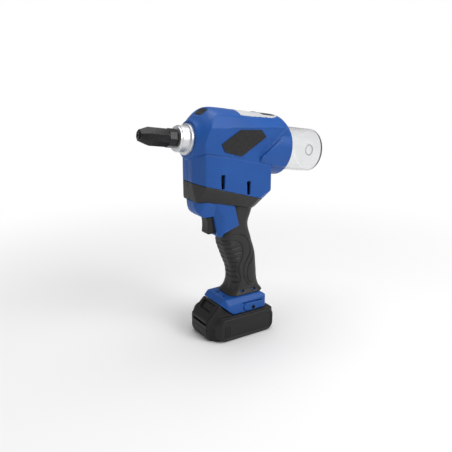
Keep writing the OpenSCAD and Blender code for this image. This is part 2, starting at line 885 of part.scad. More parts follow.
// Switch bracket under the motor body, drawn from the side
bracket_x = 72;
bracket_len = 69.5;
bracket_drop = 36;
bracket_z = lower_bottom - bracket_drop;
bracket_h = 56;
bracket_shares = [
  [0.02, 1.01], [0.036, 0.84], [0.115, 0.67], [0.259, 0.545], [0.46, 0.536], [0.496, 0.304],
  [0.529, 0.107], [0.554, 0.009], [0.6, 0], [0.64, 0.098], [1, 0.25], [0.9, 0.777], [0.086, 0.982]
];
bracket_nose_share = 0.45;
bracket_taper_share = 0.2;
guard_shares = [0.46, 0.53, 0.69, 1];
guard_h_share = 0.5;
neck_half_w = 14;
neck_shares = [0.8, 0.6, 0.57, 0.48];

// The guard behind the trigger narrows towards its front
module guard_sides() {
  x0 = guard_shares[0] * bracket_len - bracket_x;
  x1 = guard_shares[2] * bracket_len - bracket_x;
  y0 = guard_shares[1] * bracket_half_w;
  y1 = guard_shares[3] * bracket_half_w + over;
  for (side = [0, 1]) mirror([0, side, 0])
    translate([0, 0, bracket_z - over]) linear_extrude(height = guard_h_share * bracket_h + over)
      polygon([[x0 - over, y0], [x0, y0], [x1, y1], [x0 - over, y1]]);
}

module bracket_form() {
  outline = [for (p = bracket_shares) [p[0] * bracket_len - bracket_x, bracket_z + p[1] * bracket_h]];
  w = bracket_half_w;
  difference() {
    bracket_block(outline, w);
    guard_sides();
  }
}

module bracket_block(outline, w) {
  intersection() {
    translate([0, w, 0]) rotate([90, 0, 0]) linear_extrude(height = 2 * w) polygon(outline);
    linear_extrude(height = big) polygon([
      [-bracket_x, -bracket_nose_share * w],
      [bracket_taper_share * bracket_len - bracket_x, -w],
      [bracket_len, -w],
      [bracket_len, w],
      [bracket_taper_share * bracket_len - bracket_x, w],
      [-bracket_x, bracket_nose_share * w]
    ]);
  }
}

module bracket_neck() {
  translate([-neck_shares[0] * bracket_x, -neck_half_w, bracket_z + neck_shares[2] * bracket_h])
    cube([neck_shares[1] * bracket_x, 2 * neck_half_w, neck_shares[3] * bracket_h]);
}

// Foot over the battery rail
foot_shares = [
  [0.101, 0.75, 1], [0.909, 0.81, 1], [0, 0.675, 0.718], [0.117, 0.97, 0.617], [1, 0.84, 0.77],
  [0.948, 0.97, 0.75], [0.234, 1, 0], [0.948, 1, 0], [1, 0.84, 0]
];
foot_play = 0.3;
foot_low = pack_h + foot_play;
foot_h = foot_top - foot_low;

module foot_form() {
  hull() for (p = foot_shares) for (side = [-1, 1])
    translate([foot_front + p[0] * foot_len, side * p[1] * foot_half_w, foot_low + p[2] * foot_h])
      cube(grain, center = true);
}

// Cavities and holes inside the housing
switch_x = -26.5;
switch_len = 31.5;
switch_half_w = 11;
switch_lift = 10;
switch_z = bracket_z + switch_lift;
switch_h = 21;
trigger_x = -48.4;
trigger_lift = 4.8;
trigger_z = bracket_z + trigger_lift;
trigger_back = trigger_x + trigger_depth;
slot_side = 0.4;
foot_box_share = 0.725;
foot_box_half_w = foot_box_share * foot_half_w;
foot_box_x = -20;
foot_box_len = 54;
rail_neck_half_w = 18;
rail_head_half_w = 21;
rail_x = -18;
rail_len = 54;
passage_r = 8;
passage_x = 12.5;
lip_play = 0.9;
lip_r = bottle_r + lip_play;
vent_x = [-37, 4];
vent_lift = [36.6, 24];
vent_h = 19;
vent_half_w = 3.2;
vent_foot_share = 0.7;

module switch_space() {
  translate([switch_x - slot_side, -switch_half_w - slot_side, switch_z - slot_side])
    cube([switch_len + 2 * slot_side, 2 * switch_half_w + 2 * slot_side, switch_h + 2 * slot_side]);
  translate([trigger_x - trigger_depth, -trigger_half_w - slot_side, trigger_z - slot_side])
    cube([
      2 * trigger_depth + trigger_travel + slot_side,
      2 * trigger_half_w + 2 * slot_side,
      trigger_h + 2 * slot_side
    ]);
  translate([trigger_back, 0, trigger_z + trigger_h / 2]) rotate([0, 90, 0])
    cylinder(h = switch_x - trigger_back, r = plunger_r + slot_side);
}

module rail_space() {
  translate([foot_front - over, -rail_neck_half_w - rail_play, pack_h - over])
    cube([rail_x + rail_len + rail_play - foot_front + over, 2 * rail_neck_half_w + 2 * rail_play,
      rail_neck_h + rail_play + over]);
  translate([foot_front - over, -rail_head_half_w - rail_play, pack_h + rail_neck_h - rail_play])
    cube([rail_x + rail_len + rail_play - foot_front + over, 2 * rail_head_half_w + 2 * rail_play,
      rail_head_h + 2 * rail_play]);
}

module foot_space() {
  translate([foot_box_x, -foot_box_half_w, foot_box_z])
    cube([foot_box_len, 2 * foot_box_half_w, foot_box_h]);
  translate([foot_box_x, -rail_head_half_w, foot_box_z - over])
    cube([foot_box_len, 2 * rail_head_half_w, 2 * over]);
  translate([passage_x, 0, foot_box_z]) cylinder(h = 2 * foot_box_h, r = passage_r);
}

module vents() {
  for (i = [0, 1]) translate([vent_x[i], 0, lower_bottom + vent_lift[i]]) rotate([90, 0, 0])
    linear_extrude(height = big, center = true) polygon([
      [-vent_foot_share * vent_half_w, 0], [vent_foot_share * vent_half_w, 0],
      [vent_half_w, vent_h], [-vent_half_w, vent_h]
    ]);
}

// Badge field and badge on both sides, points of [along the barrel, height]
field_shares = [
  [0.134, -0.292], [0.187, 0.198], [0.316, 0.516], [0.915, 0.67], [0.686, -0.242], [0.606, -0.44]
];
badge_shares = [
  [0.226, 0.007], [0.405, 0.466], [0.635, 0.527], [0.697, 0.336], [0.455, -0.292], [0.273, -0.213]
];
field_deep = 0.8;
badge_t = 1.2;

function side_points(shares) = [for (p = shares) [head_s + p[0] * head_len, p[1] * dome_r]];

module side_prism(shares, y0, y1) {
  translate([0, y1, 0]) rotate([90, 0, 0]) linear_extrude(height = y1 - y0) polygon(side_points(shares));
}

module badge_fields() {
  for (side = [0, 1]) mirror([0, side, 0])
    side_prism(field_shares, -head_half_w - over, field_deep - head_half_w);
}

module badge_plate(side) {
  color("steelblue") barrel() mirror([0, side, 0])
    side_prism(badge_shares, field_deep - head_half_w - badge_t, field_deep - head_half_w);
}

module badge_left() badge_plate(0);
module badge_right() badge_plate(1);

// Control panel, button and display on top of the head
panel_end = 12.5;
panel_s = head_end - panel_end - panel_len;
panel_low = 1.3;
panel_proud = 0.3;
button_s = panel_s + panel_len / 2;
button_h = 5;
button_play = 0.35;
button_proud = 0.9;
display_half_w = 4.6;
display_len = 18;
display_end = 2.5;
display_s = panel_s + panel_len - display_len - display_end;
display_deep = 0.7;
display_proud = 0.2;

module panel_outline(grow) {
  translate([panel_s - grow, -panel_half_w - grow])
    square([panel_len - panel_half_w + grow, 2 * panel_half_w + 2 * grow]);
  translate([panel_s + panel_len - panel_half_w, 0]) circle(r = panel_half_w + grow);
}

module panel_shape(grow, high) {
  intersection() {
    sleeve(panel_s - over, panel_len + 2 * over, high, dome_r - panel_low - grow);
    linear_extrude(height = big) panel_outline(grow);
  }
}

module display_block(grow, high) {
  translate([display_s - grow, -display_half_w - grow, dome_r - display_deep - grow])
    cube([display_len + 2 * grow, 2 * display_half_w + 2 * grow, display_deep + high]);
}

module button_bar(grow, low, high) {
  translate([button_s, 0, low]) cylinder(h = high - low, r = button_r + grow);
}

button_low = dome_r + button_proud - button_h;

module control_panel() {
  color("whitesmoke") barrel() difference() {
    panel_shape(0, dome_r + panel_proud);
    display_block(fit, over);
    button_bar(button_play, button_low - over, dome_r + button_h);
  }
}

module display_window() {
  color("black") barrel() display_block(0, display_proud);
}

module mode_button() {
  color("gray") barrel() button_bar(0, button_low, dome_r + button_proud);
}

// Work light lens on the front slope
lens_s = 16;
lens_share = 0.835;
lens_h = lens_share * dome_r;
lens_turn = 43;
lens_len = 13;
lens_half_w = 9.5;
lens_t = 1.2;

module lens_block(grow, high) {
  translate([head_s + lens_s, 0, lens_h]) rotate([0, -lens_turn, 0])
    translate([-lens_len / 2 - grow, -lens_half_w - grow, -lens_t - grow])
      cube([lens_len + 2 * grow, 2 * lens_half_w + 2 * grow, lens_t + grow + high]);
}

module work_light_lens() {
  color("darkslategray") barrel() lens_block(0, 0);
}

// Flat facet that the lens sits in
module lens_facet() {
  translate([head_s + lens_s, 0, lens_h]) rotate([0, -lens_turn, 0])
    translate([-lens_len, -lens_len, 0]) cube([2 * lens_len, 2 * lens_len, lens_len]);
  lens_block(fit, over);
}

// Screws enter from the right side; each has a boss on both halves
head_screw_shares = [0.229, 0.782];
head_screw_share = 0.78;
head_screw_h = head_screw_share * dome_r;
chin_screw = [-60, 49];
handle_screw_x = 18;
handle_screw_share = 0.42;
foot_screw = [12, 13];
screw_places = [
  [chin_screw[0], bracket_z + chin_screw[1]],
  [handle_screw_x, foot_top + handle_screw_share * handle_h],
  [foot_front + foot_screw[0], pack_h + foot_screw[1]],
  for (share = head_screw_shares) spot(head_s + share * head_len, head_screw_h)
];
screw_faces = [15, 16, 22, 24, 24];
screw_r = 1.8;
screw_head_r = 3.2;
screw_head_h = 2;
screw_tip = 7;
boss_r = 4.6;

module at_screw(i) {
  translate([screw_places[i][0], 0, screw_places[i][1]]) rotate([-90, 0, 0]) children();
}

module housing_screws() {
  color("dimgray") for (i = [0 : len(screw_places) - 1]) at_screw(i) union() {
    translate([0, 0, -screw_tip]) cylinder(h = screw_tip + screw_faces[i] - 2 * screw_head_h, r = screw_r);
    translate([0, 0, screw_faces[i] - 3 * screw_head_h]) cylinder(h = screw_head_h, r = screw_head_r);
  }
}

module screw_holes() {
  for (i = [0 : len(screw_places) - 1]) at_screw(i) union() {
    translate([0, 0, -screw_tip]) cylinder(h = screw_tip + screw_faces[i], r = screw_r + fit);
    translate([0, 0, screw_faces[i] - 3 * screw_head_h]) cylinder(h = 5 * boss_r, r = screw_head_r + fit);
  }
}

// Bosses stand in the cavities
module screw_bosses() {
  for (i = [1, 3, 4]) at_screw(i)
    translate([0, 0, -screw_faces[i]]) cylinder(h = 2 * screw_faces[i], r = boss_r);
}

// Steel inserts for a belt hook in both sides of the foot
hook_x = 15.5;
hook_rise = 4.1;
hook_z = pack_h + hook_rise;
hook_sink = 0.4;
hook_face = foot_half_w - hook_sink;
hook_r = 2.9;

module at_hooks() {
  for (side = [0, 1]) mirror([0, side, 0])
    translate([hook_x, -hook_face, hook_z]) rotate([-90, 0, 0]) children();
}

module hook_inserts() {
  color("dimgray") at_hooks() difference() {
    cylinder(h = hook_hole_len, r = hook_r);
    translate([0, 0, -over]) cylinder(h = hook_hole_len + 2 * over, r = hook_hole_r);
  }
}

// What the hard shell keeps under the soft skin
module core_form() {
  intersection() {
    union() {
      lower_form(skin);
      handle_form(skin);
    }
    translate([-big / 2, -big / 2, foot_top]) cube(big);
  }
}

module shell_outside() {
  barrel() upper_form(0);
  difference() {
    lower_form(0);
    below_band(0);
  }
  core_form();
  bracket_form();
  bracket_neck();
  foot_form();
}

module shell_inside() {
  barrel() {
    intersection() {
      upper_form(wall);
      bar(head_s + front_wall, socket_s - head_s - front_wall, 2 * dome_r);
    }
    bar(socket_s - fit, head_end - lip_len - socket_s + fit, pocket_r);
    bar(socket_s, head_len, lip_r);
    bar(head_s - over, front_wall + 2 * over, tail_r + facet_fit);
  }
  lower_form(skin + wall);
  handle_form(skin + wall);
}

// The whole hard shell before it is split on the middle plane
module shell() {
  difference() {
    shell_outside();
    difference() {
      shell_inside();
      screw_bosses();
    }
    switch_space();
    rail_space();
    foot_space();
    vents();
    screw_holes();
    at_hooks() translate([0, 0, -over]) cylinder(h = hook_hole_len + over + fit, r = hook_r + fit);
    barrel() {
      badge_fields();
      panel_shape(fit, 2 * dome_r);
      button_bar(button_play, button_low - button_travel - over, dome_r);
      lens_facet();
      bottle_notches();
    }
  }
}

// Lugs on the bottle lock behind the lip and leave through two notches
lug_len = 3;
lug_turn = 24;
lug_play = 0.6;
notch_turn = 45;
notch_half_turn = 14;

module wedge_sector(s, len, turn, half_angle, reach) {
  along(s, len) rotate(turn) polygon([
    [0, 0],
    [reach, -reach * tan(half_angle)],
    [reach, reach * tan(half_angle)]
  ]);
}

module bottle_notches() {
  for (side = [0, 180]) intersection() {
    bar(socket_s + socket_len - fit, lip_len + over, lug_r + lug_play);
    wedge_sector(socket_s + socket_len - fit, lip_len + over, side + notch_turn, notch_half_turn, 2 * dome_r);
  }
}

module housing_left() {
  color("royalblue") half(-1) shell();
}

module housing_right() {
  color("royalblue") half(1) shell();
}

// Soft skin: band round the motor body, handle overmould and the skirt on the foot
module grip_skin() {
  difference() {
    union() {
      intersection() {
        lower_form(0);
        below_band(-fit);
      }
      handle_form(0);
    }
    lower_form(skin);
    handle_form(skin);
    bracket_form();
    bracket_neck();
    barrel() upper_form(-fit);
    translate([-big / 2, -big / 2, foot_top + grain - big]) cube(big);
    switch_space();
    vents();
    screw_holes();
  }
}

module grip_left() {
  color("dimgray") half(-1) grip_skin();
}

module grip_right() {
  color("dimgray") half(1) grip_skin();
}

// Trigger and its switch
trigger_shares = [
  [0.04, 0.06], [0.1, 0.4], [0.08, 0.7], [0, 0.94], [0.06, 1], [1, 1], [1, 0.06], [0.6, 0], [0.14, 0]
];
plunger_len = 16.2;
bore_share = 0.55;

module trigger() {
  color("black") union() {
    translate([trigger_x, trigger_half_w, trigger_z]) rotate([90, 0, 0])
      linear_extrude(height = 2 * trigger_half_w)
      polygon([for (p = trigger_shares) [p[0] * trigger_depth, p[1] * trigger_h]]);
    translate([trigger_back - over, 0, trigger_z + trigger_h / 2]) rotate([0, 90, 0])
      cylinder(h = plunger_len + over, r = plunger_r);
  }
}

module trigger_switch() {
  color("dimgray") difference() {
    translate([switch_x, -switch_half_w, switch_z]) cube([switch_len, 2 * switch_half_w, switch_h]);
    translate([switch_x - over, 0, trigger_z + trigger_h / 2]) rotate([0, 90, 0])
      cylinder(h = over + bore_share * switch_len, r = plunger_r + run);
  }
}

// Loom from the switch down the handle to the control board
board_t = 1.6;
block_h = 8.6;
block_x = 2;
block_len = 30;
loom_r = 3;
loom_top_x = -4;
loom_low_x = 12;
board_top = foot_box_z + block_h + board_t;

module wire_loom() {
  rise = switch_z - board_top;
  run_x = loom_top_x - loom_low_x;
  color("black") intersection() {
    translate([loom_low_x, 0, board_top]) rotate([0, atan2(run_x, rise), 0])
      cylinder(h = 2 * rise, r = loom_r, center = true);
    translate([-big / 2, -big / 2, board_top]) cube([big, big, rise]);
  }
}

blade_half_t = 0.5;
blade_pitch = 11;
blade_len = 16;
blade_low = pack_h + rail_neck_h;

module blades(grow, back) {
  for (k = [-1 : 1]) translate([block_x - grow, k * blade_pitch - blade_half_t - grow, blade_low - grow])
    cube([blade_len + back, 2 * blade_half_t + 2 * grow, foot_box_z - blade_low + over]);
}

module terminal_block() {
  color("black") union() {
    translate([block_x, -foot_box_half_w, foot_box_z]) cube([block_len, 2 * foot_box_half_w, block_h]);
    blades(0, 0);
  }
}

module control_board() {
  color("darkgreen") translate([block_x, -foot_box_half_w, foot_box_z + block_h])
    cube([block_len, 2 * foot_box_half_w, board_t]);
}

// Bottle socket, seal and clear bottle behind the head
seal_inset = 1.1;
seal_ring_r = bottle_r - seal_inset;
bottle_bore_r = bottle_r - bottle_wall;
lug_back = 0.5;
lug_s = bottle_s + lug_back;

module bottle_socket() {
  color("dimgray") barrel() union() {
    sleeve(socket_s, socket_disc, pocket_r - facet_fit, tube_r + gap);
    sleeve(socket_s, socket_len, pocket_r - facet_fit, lug_r + lug_play);
  }
}

module bottle_seal() {
  color("black") barrel() translate([socket_s + socket_disc + seal_r, 0, 0]) rotate([0, 90, 0])
    rotate_extrude($fn = 96) translate([seal_ring_r, 0]) circle(r = seal_r, $fn = 24);
}

module collector_bottle() {
  c = bottle_corner_r;
  inner_c = c - bottle_wall;
  color("aliceblue") barrel() difference() {
    union() {
      bar(bottle_s, bottle_end - bottle_s - c, bottle_r, 0, 96);
      bar(bottle_end - 2 * c, 2 * c, bottle_r - c);
      translate([bottle_end - c, 0, 0]) rotate([0, 90, 0])
        rotate_extrude($fn = 96) translate([bottle_r - c, 0]) intersection() {
          circle(r = c, $fn = 32);
          square(2 * c);
        }
      for (side = [0, 180]) intersection() {
        sleeve(lug_s, lug_len, lug_r, bottle_bore_r);
        wedge_sector(lug_s, lug_len, side, lug_turn / 2, 2 * dome_r);
      }
    }
    bar(bottle_s - over, bottle_end - bottle_s - c + over, bottle_bore_r, 0, 96);
    bar(bottle_end - 2 * c, 2 * c - bottle_wall, bottle_r - c);
    translate([bottle_end - c - fit, 0, 0]) rotate([0, 90, 0])
      rotate_extrude($fn = 96) translate([bottle_r - c - fit, 0]) intersection() {
        circle(r = inner_c, $fn = 32);
        square(2 * c);
      }
  }
}

// Battery pack: two cases, rails, pads, cells, board and latch
core_half_w = pack_half_w - pad_len;
pack_shares = [[0, 0.62], [0.09, 1], [0.91, 1], [1, 0.76]];
wedge_nose = 4.5;
wedge_nose_h = 8;
wedge_top_share = 0.675;
wedge_knee_z = 30.5;
wedge_inset = 4.6;
wedge_half_w = core_half_w - wedge_inset;
wedge_gap = 0.6;
wedge_slope_share = 0.234;
foot_knee_share = 0.718;

function pack_side(inset, side) = [for (p = pack_shares)
  [inset - pack_len / 2 + p[0] * (pack_len - 2 * inset), side * (p[1] * core_half_w - inset)]];

module pack_outline(inset) {
  polygon(concat(pack_side(inset, -1), backwards(pack_side(inset, 1))));
}

slope_top = [foot_front - wedge_gap, foot_low + foot_knee_share * foot_h];
slope_low = [pack_front - wedge_nose, wedge_knee_z];
wedge_back_x = foot_front + wedge_slope_share * foot_len - wedge_gap;

// Corners of the wedge in front of the foot: along, half width and height
wedge_front_w = pack_shares[0][1] * core_half_w;
wedge_points = [
  [pack_front, wedge_front_w, pack_split],
  [slope_low[0], wedge_front_w, wedge_knee_z - wedge_nose_h],
  [slope_low[0], wedge_front_w, wedge_knee_z],
  [slope_top[0], wedge_top_share * foot_half_w, slope_top[1]],
  [wedge_back_x, wedge_half_w, pack_h],
  [wedge_back_x, wedge_half_w, pack_split]
];

module wedge_form() {
  hull() for (p = wedge_points) for (side = [-1, 1])
    translate([p[0], side * p[1], p[2]]) cube(grain, center = true);
}

latch_share = 0.66;
latch_len = 12.6;
latch_t = 3;
latch_set = 2.4;
latch_deep = latch_set + latch_t + latch_travel + gap;
slope_turn = atan2(slope_top[1] - slope_low[1], slope_top[0] - slope_low[0]);
latch_x = slope_low[0] + latch_share * (slope_top[0] - slope_low[0]);
latch_z = slope_low[1] + latch_share * (slope_top[1] - slope_low[1]);

module at_latch() {
  translate([latch_x, 0, latch_z]) rotate([0, -slope_turn, 0]) children();
}

slot_low = 23;
slot_h = 3;
slot_half_w = 18;
slot_deep = 2;

module battery_upper_case() {
  color("dimgray") difference() {
    union() {
      translate([0, 0, pack_split]) linear_extrude(height = pack_h - pack_split) pack_outline(0);
      wedge_form();
      translate([rail_x, -rail_neck_half_w, pack_h - over])
        cube([rail_len, 2 * rail_neck_half_w, rail_neck_h + rail_head_h + over]);
      translate([rail_x, -rail_head_half_w, pack_h + rail_neck_h])
        cube([rail_len, 2 * rail_head_half_w, rail_head_h]);
    }
    translate([0, 0, pack_split - over]) linear_extrude(height = pack_h - pack_split - wall + over)
      pack_outline(wall);
    at_latch() translate([-latch_len / 2 - gap, -latch_half_w - gap, -latch_deep])
      cube([latch_len + 2 * gap, 2 * latch_half_w + 2 * gap, latch_deep + over]);
    blades(gap, rail_len);
    translate([slope_low[0] - over, -slot_half_w, slot_low])
      cube([wedge_nose + over + slot_deep, 2 * slot_half_w, slot_h]);
  }
}

module battery_lower_case() {
  color("dimgray") difference() {
    linear_extrude(height = pack_split) pack_outline(0);
    translate([0, 0, wall]) linear_extrude(height = pack_split) pack_outline(wall);
  }
}

pad_low = 0.6;
pad_wrap_share = 0.4;
pad_edge = 1.8;
pad_corner_r = 9;
pad_steps = 6;

// Place on the pack's side between two of its corners
function pack_spot(a, b, f) = let (p = pack_side(0, 1)) p[a] + f * (p[b] - p[a]);
pad_front = pack_spot(1, 0, 1 - pad_wrap_share);
pad_rear = pack_spot(2, 3, 1 - pad_wrap_share);

// Side view of a pad, a rectangle with round corners
function pad_corner(x, z, turn) = [for (k = [0 : pad_steps])
  [x, z] + pad_corner_r * [cos(turn + 90 * k / pad_steps), sin(turn + 90 * k / pad_steps)]];
pad_x0 = pad_front[0] + pad_corner_r;
pad_x1 = pad_rear[0] - pad_corner_r;
pad_z0 = pad_low + pad_corner_r;
pad_z1 = pack_h - 2 * pad_low - pad_corner_r;

module battery_pads() {
  p = pack_side(0, 1);
  color("dimgray") for (side = [0, 1]) mirror([0, side, 0]) intersection() {
    linear_extrude(height = pack_h) polygon([
      pad_front,
      p[1],
      p[2],
      pad_rear,
      [p[2][0] + pad_edge, pack_half_w],
      [p[1][0] - pad_edge, pack_half_w]
    ]);
    translate([0, 2 * core_half_w, 0]) rotate([90, 0, 0])
      linear_extrude(height = 2 * core_half_w) polygon(concat(
      pad_corner(pad_x1, pad_z1, 0),
      pad_corner(pad_x0, pad_z1, 90),
      pad_corner(pad_x0, pad_z0, 180),
      pad_corner(pad_x1, pad_z0, 270)
    ));
  }
}

cell_count = 5;
cell_gap = 0.4;
cell_room = 26;
cell_r = ((pack_len - cell_room) / cell_count - cell_gap) / 2;
cell_end_gap = 1;
cell_len = 2 * (core_half_w - wall - cell_end_gap);

module battery_cells() {
  pitch = 2 * cell_r + cell_gap;
  color("seagreen") for (k = [0 : cell_count - 1])
    translate([pitch * (k - (cell_count - 1) / 2), -cell_len / 2, wall + cell_r]) rotate([-90, 0, 0])
      cylinder(h = cell_len, r = cell_r);
}

cell_board_len = 70;
cell_board_half_w = 25;

module battery_board() {
  color("darkgreen") translate([-cell_board_len / 2, -cell_board_half_w, wall + 2 * cell_r])
    cube([cell_board_len, 2 * cell_board_half_w, board_t]);
}

latch_ridge_r = 1;

module battery_latch() {
  color("dimgray") at_latch() union() {
    translate([-latch_len / 2, -latch_half_w, -latch_set - latch_t])
      cube([latch_len, 2 * latch_half_w, latch_t]);
    for (k = [-1 : 1]) translate([k * latch_len / 4, latch_half_w / 2, -latch_set]) rotate([90, 0, 0])
      cylinder(h = latch_half_w, r = latch_ridge_r);
  }
}

nosepiece();
nose_housing();
lock_nut();
front_collar();
housing_left();
housing_right();
grip_left();
grip_right();
badge_left();
badge_right();
work_light_lens();
control_panel();
display_window();
mode_button();
jaw_case();
jaw_1();
jaw_2();
jaw_3();
jaw_pusher();
pusher_spring();
spindle();
guide_pins();
guide_sleeve();
mandrel_tube();
spindle_nut();
nut_gear();
front_bearing();
rear_bearing();
gear_frame();
gear_cover();
idler_gear();
idler_shaft();
output_shaft();
drive_pinion();
ring_gear();
planet_gear_1();
planet_gear_2();
planet_gear_3();
sun_gear();
motor_rotor();
motor_stator();
motor_case();
motor_end_cap();
motor_fan();
trigger();
trigger_switch();
wire_loom();
terminal_block();
control_board();
hook_inserts();
housing_screws();
bottle_socket();
bottle_seal();
collector_bottle();
battery_upper_case();
battery_lower_case();
battery_pads();
battery_cells();
battery_board();
battery_latch();
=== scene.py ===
"""Looks of a battery rivet tool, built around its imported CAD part.

The moulded pieces are drawn as distance fields in millimetres and skinned with a
surface net, so that their edges are rounded as on a moulding. Turned and milled
pieces keep their CAD solids and get bevels and finishes.
"""

import json
import math

import bpy
import numpy as np
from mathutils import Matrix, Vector


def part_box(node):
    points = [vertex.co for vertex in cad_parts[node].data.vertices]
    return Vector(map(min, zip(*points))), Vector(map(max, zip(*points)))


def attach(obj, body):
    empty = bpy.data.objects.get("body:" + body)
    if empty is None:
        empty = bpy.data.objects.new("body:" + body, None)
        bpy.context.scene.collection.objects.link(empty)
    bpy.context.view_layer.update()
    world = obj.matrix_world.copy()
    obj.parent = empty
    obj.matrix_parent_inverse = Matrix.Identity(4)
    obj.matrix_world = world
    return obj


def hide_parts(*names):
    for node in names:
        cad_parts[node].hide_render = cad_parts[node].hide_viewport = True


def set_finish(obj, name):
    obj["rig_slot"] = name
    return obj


bl_info = {
    "name": "Battery rivet tool",
    "version": (1, 0, 0),
    "blender": (4, 5, 0),
    "location": "View3D > Sidebar > Rivet tool",
    "description": "Builds the visible pieces of a battery rivet tool on its CAD frame",
    "category": "Object",
}

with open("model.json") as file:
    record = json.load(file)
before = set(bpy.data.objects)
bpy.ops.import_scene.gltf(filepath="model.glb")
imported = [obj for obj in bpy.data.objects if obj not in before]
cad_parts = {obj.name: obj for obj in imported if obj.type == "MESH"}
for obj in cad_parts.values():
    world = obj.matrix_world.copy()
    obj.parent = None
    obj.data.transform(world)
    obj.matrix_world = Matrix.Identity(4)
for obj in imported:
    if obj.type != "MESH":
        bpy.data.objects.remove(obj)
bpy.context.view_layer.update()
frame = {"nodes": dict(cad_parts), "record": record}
MM = 0.001

# The barrel frame comes from the mount in the nose tip: S runs back, H up
BORE = next(m for m in frame["record"]["mounts"] if m["name"] == "mandrel_bore")
FORWARD = Vector(BORE["axis"])
BORE_DEPTH = 9.0
TIP = Vector(BORE["pos_m"]) / MM + FORWARD * BORE_DEPTH
BACK_X, BACK_Z = -FORWARD.x, -FORWARD.z

# Head of the tool, millimetres along the barrel and over its axis
HEAD_S = 70.2
HEAD_END = 218.5
DOME = [
    (60, 20), (70.2, 24.6), (74, 27.6), (81, 35), (87, 40.6), (92, 43.7), (98, 45.2), (104, 45.5),
    (150, 45.5), (204, 45.5), (209, 44.4), (213, 42.2), (218.5, 38.6), (224, 35),
]
HEAD_HALF_W = 34.0
BEVEL_TOP = (25.5, 37.8)
BEVEL_FOOT = (90.2, 20.5, 0.0885)
SIDE_FOOT = (85.3, -12.7, -0.083)
SHELF_SLOPE = 0.5
BELLY = [(26.9, -27.0), (11.9, -36.4)]
RIM_R = 38.8
STEP_FOOT = (169.5, -11.0)
STEP_TURN = math.radians(42.3)
FIELD = [(78, -20), (78, 1.3), (118, 22.3), (205.5, 29.9), (169.5, -11), (171, -30), (100, -30)]
FIELD_DEPTH = (0.75, 0.3)
FIELD_LINE = (0.55, 0.45, 0.25)
PANEL_S = 135.0
PANEL_END = 206.0
PANEL_HALF_W = 21.5
PANEL_FLOOR = 44.18
BUTTON_S = 170.5
BUTTON_HOLE_R = 4.15
BUTTON_FLOOR = 39.5
LENS_PLACE = (86.2, 38.0)
LENS_TURN = math.radians(43)
LENS_SIZE = (6.5, 9.5, 1.2)
LENS_CORNER = 4.5
LENS_FACET = 12.0
LENS_LAMPS = (4.4, 6.5, 2.6)
DISPLAY = (177.0, 199.0, 13.0)
DISPLAY_R = (45.2, 46.02)
SOCKET_S = 204.0
LIP_S = 216.5
POCKET_R = 36.0
LIP_R = 32.2
NOTCH_S = 215.0
NOTCH_R = (32.0, 34.2)
NOTCH_TURN = (math.radians(45), math.radians(14))
FRONT_WALL = 3.8
COLLAR_HOLE_R = 15.52
COLLAR_SEAT = 5.0
SHELL_WALL = 2.6
SKIN = 2.0
STEM_SKIN = 3.4
STEM_FOOT = 3.0
SEAM = 0.08
SEAM_GROOVE = (0.6, 20.0)

# Motor body under the barrel: corner points of its planes, millimetres
BODY_FRONT = -73.3
BODY_REAR = 45.0
BODY_HALF_W = 33.0
BODY_TOP = 285.0
BODY_MIDDLE = (-15.0, 0.0, 245.0)
BAND_EDGE = (-73.3, 233.5)
BAND_SLOPE = math.radians(17.2)
BODY_FACES = [
    ((-73.3, 12.5, 285), (-63, 31, 285), (-63, 31, 228)),
    ((-63, 31, 285), (-29.5, 33, 285), (-29.5, 33, 218)),
    ((41.4, 33, 285), (45, 28, 285), (45, 28, 213)),
    ((-73.3, 0, 231), (-73.3, 12.5, 231), (-70.5, 9.9, 206.6)),
    ((-63, 31, 228), (-66, 19.6, 205), (-29.5, 33, 218.4)),
    ((-29.5, 33, 218.4), (21.3, 33, 203.2), (-11.8, 21.1, 194.8)),
    ((21.3, 33, 203.2), (41.4, 33, 213.5), (26, 14.85, 187)),
    ((45, 0, 213.5), (45, 28, 213.5), (26, 14.85, 187)),
    ((-70.5, 0, 206.6), (-70.5, 9.9, 206.6), (26, 0, 187)),
]
VENTS = [(-37.0, 223.6, 243.0), (4.0, 211.0, 230.0)]
VENT_HALF_W = (2.2, 3.15)
VENT_FLOOR = 18.0
NECK = ((-57.6, -14, 183), (-14.4, 14, 209.8))
NECK_SEAT = ((-57.7, -14.1, 183), (-14.3, 14.1, 209.9))

# Holes across the shells: screws by radius and reach, FAR lies well past the tool's side
FAR = 60.0
BOSS_R = 4.6
SCREW_HOLE = (1.85, -7.2)
SCREW_HEAD_HOLE = (3.25, 2.02)
GRIP_SCREW_HOLE = (3.3, 4.0)

# Trigger and the room behind it
TRIGGER = [
    (-47.8, 157.3), (-47.0, 165.6), (-47.2, 173.0), (-48.4, 178.9), (-47.5, 180.3), (-34.1, 180.3),
    (-34.1, 157.3), (-39.8, 155.9), (-46.4, 155.9),
]
TRIGGER_HALF_W = 8.95
TRIGGER_SLOT = ((-80, -9.4, 155.4), (-27.6, 9.4, 180.8))
SWITCH_ROOM = ((-26.9, -11.4, 160.6), (5.4, 11.4, 182.4))
ROD_Z = 168.1
ROD = (2.95, -36.0, -17.9)
ROD_HOLE = (3.4, -34.0, -26.0)

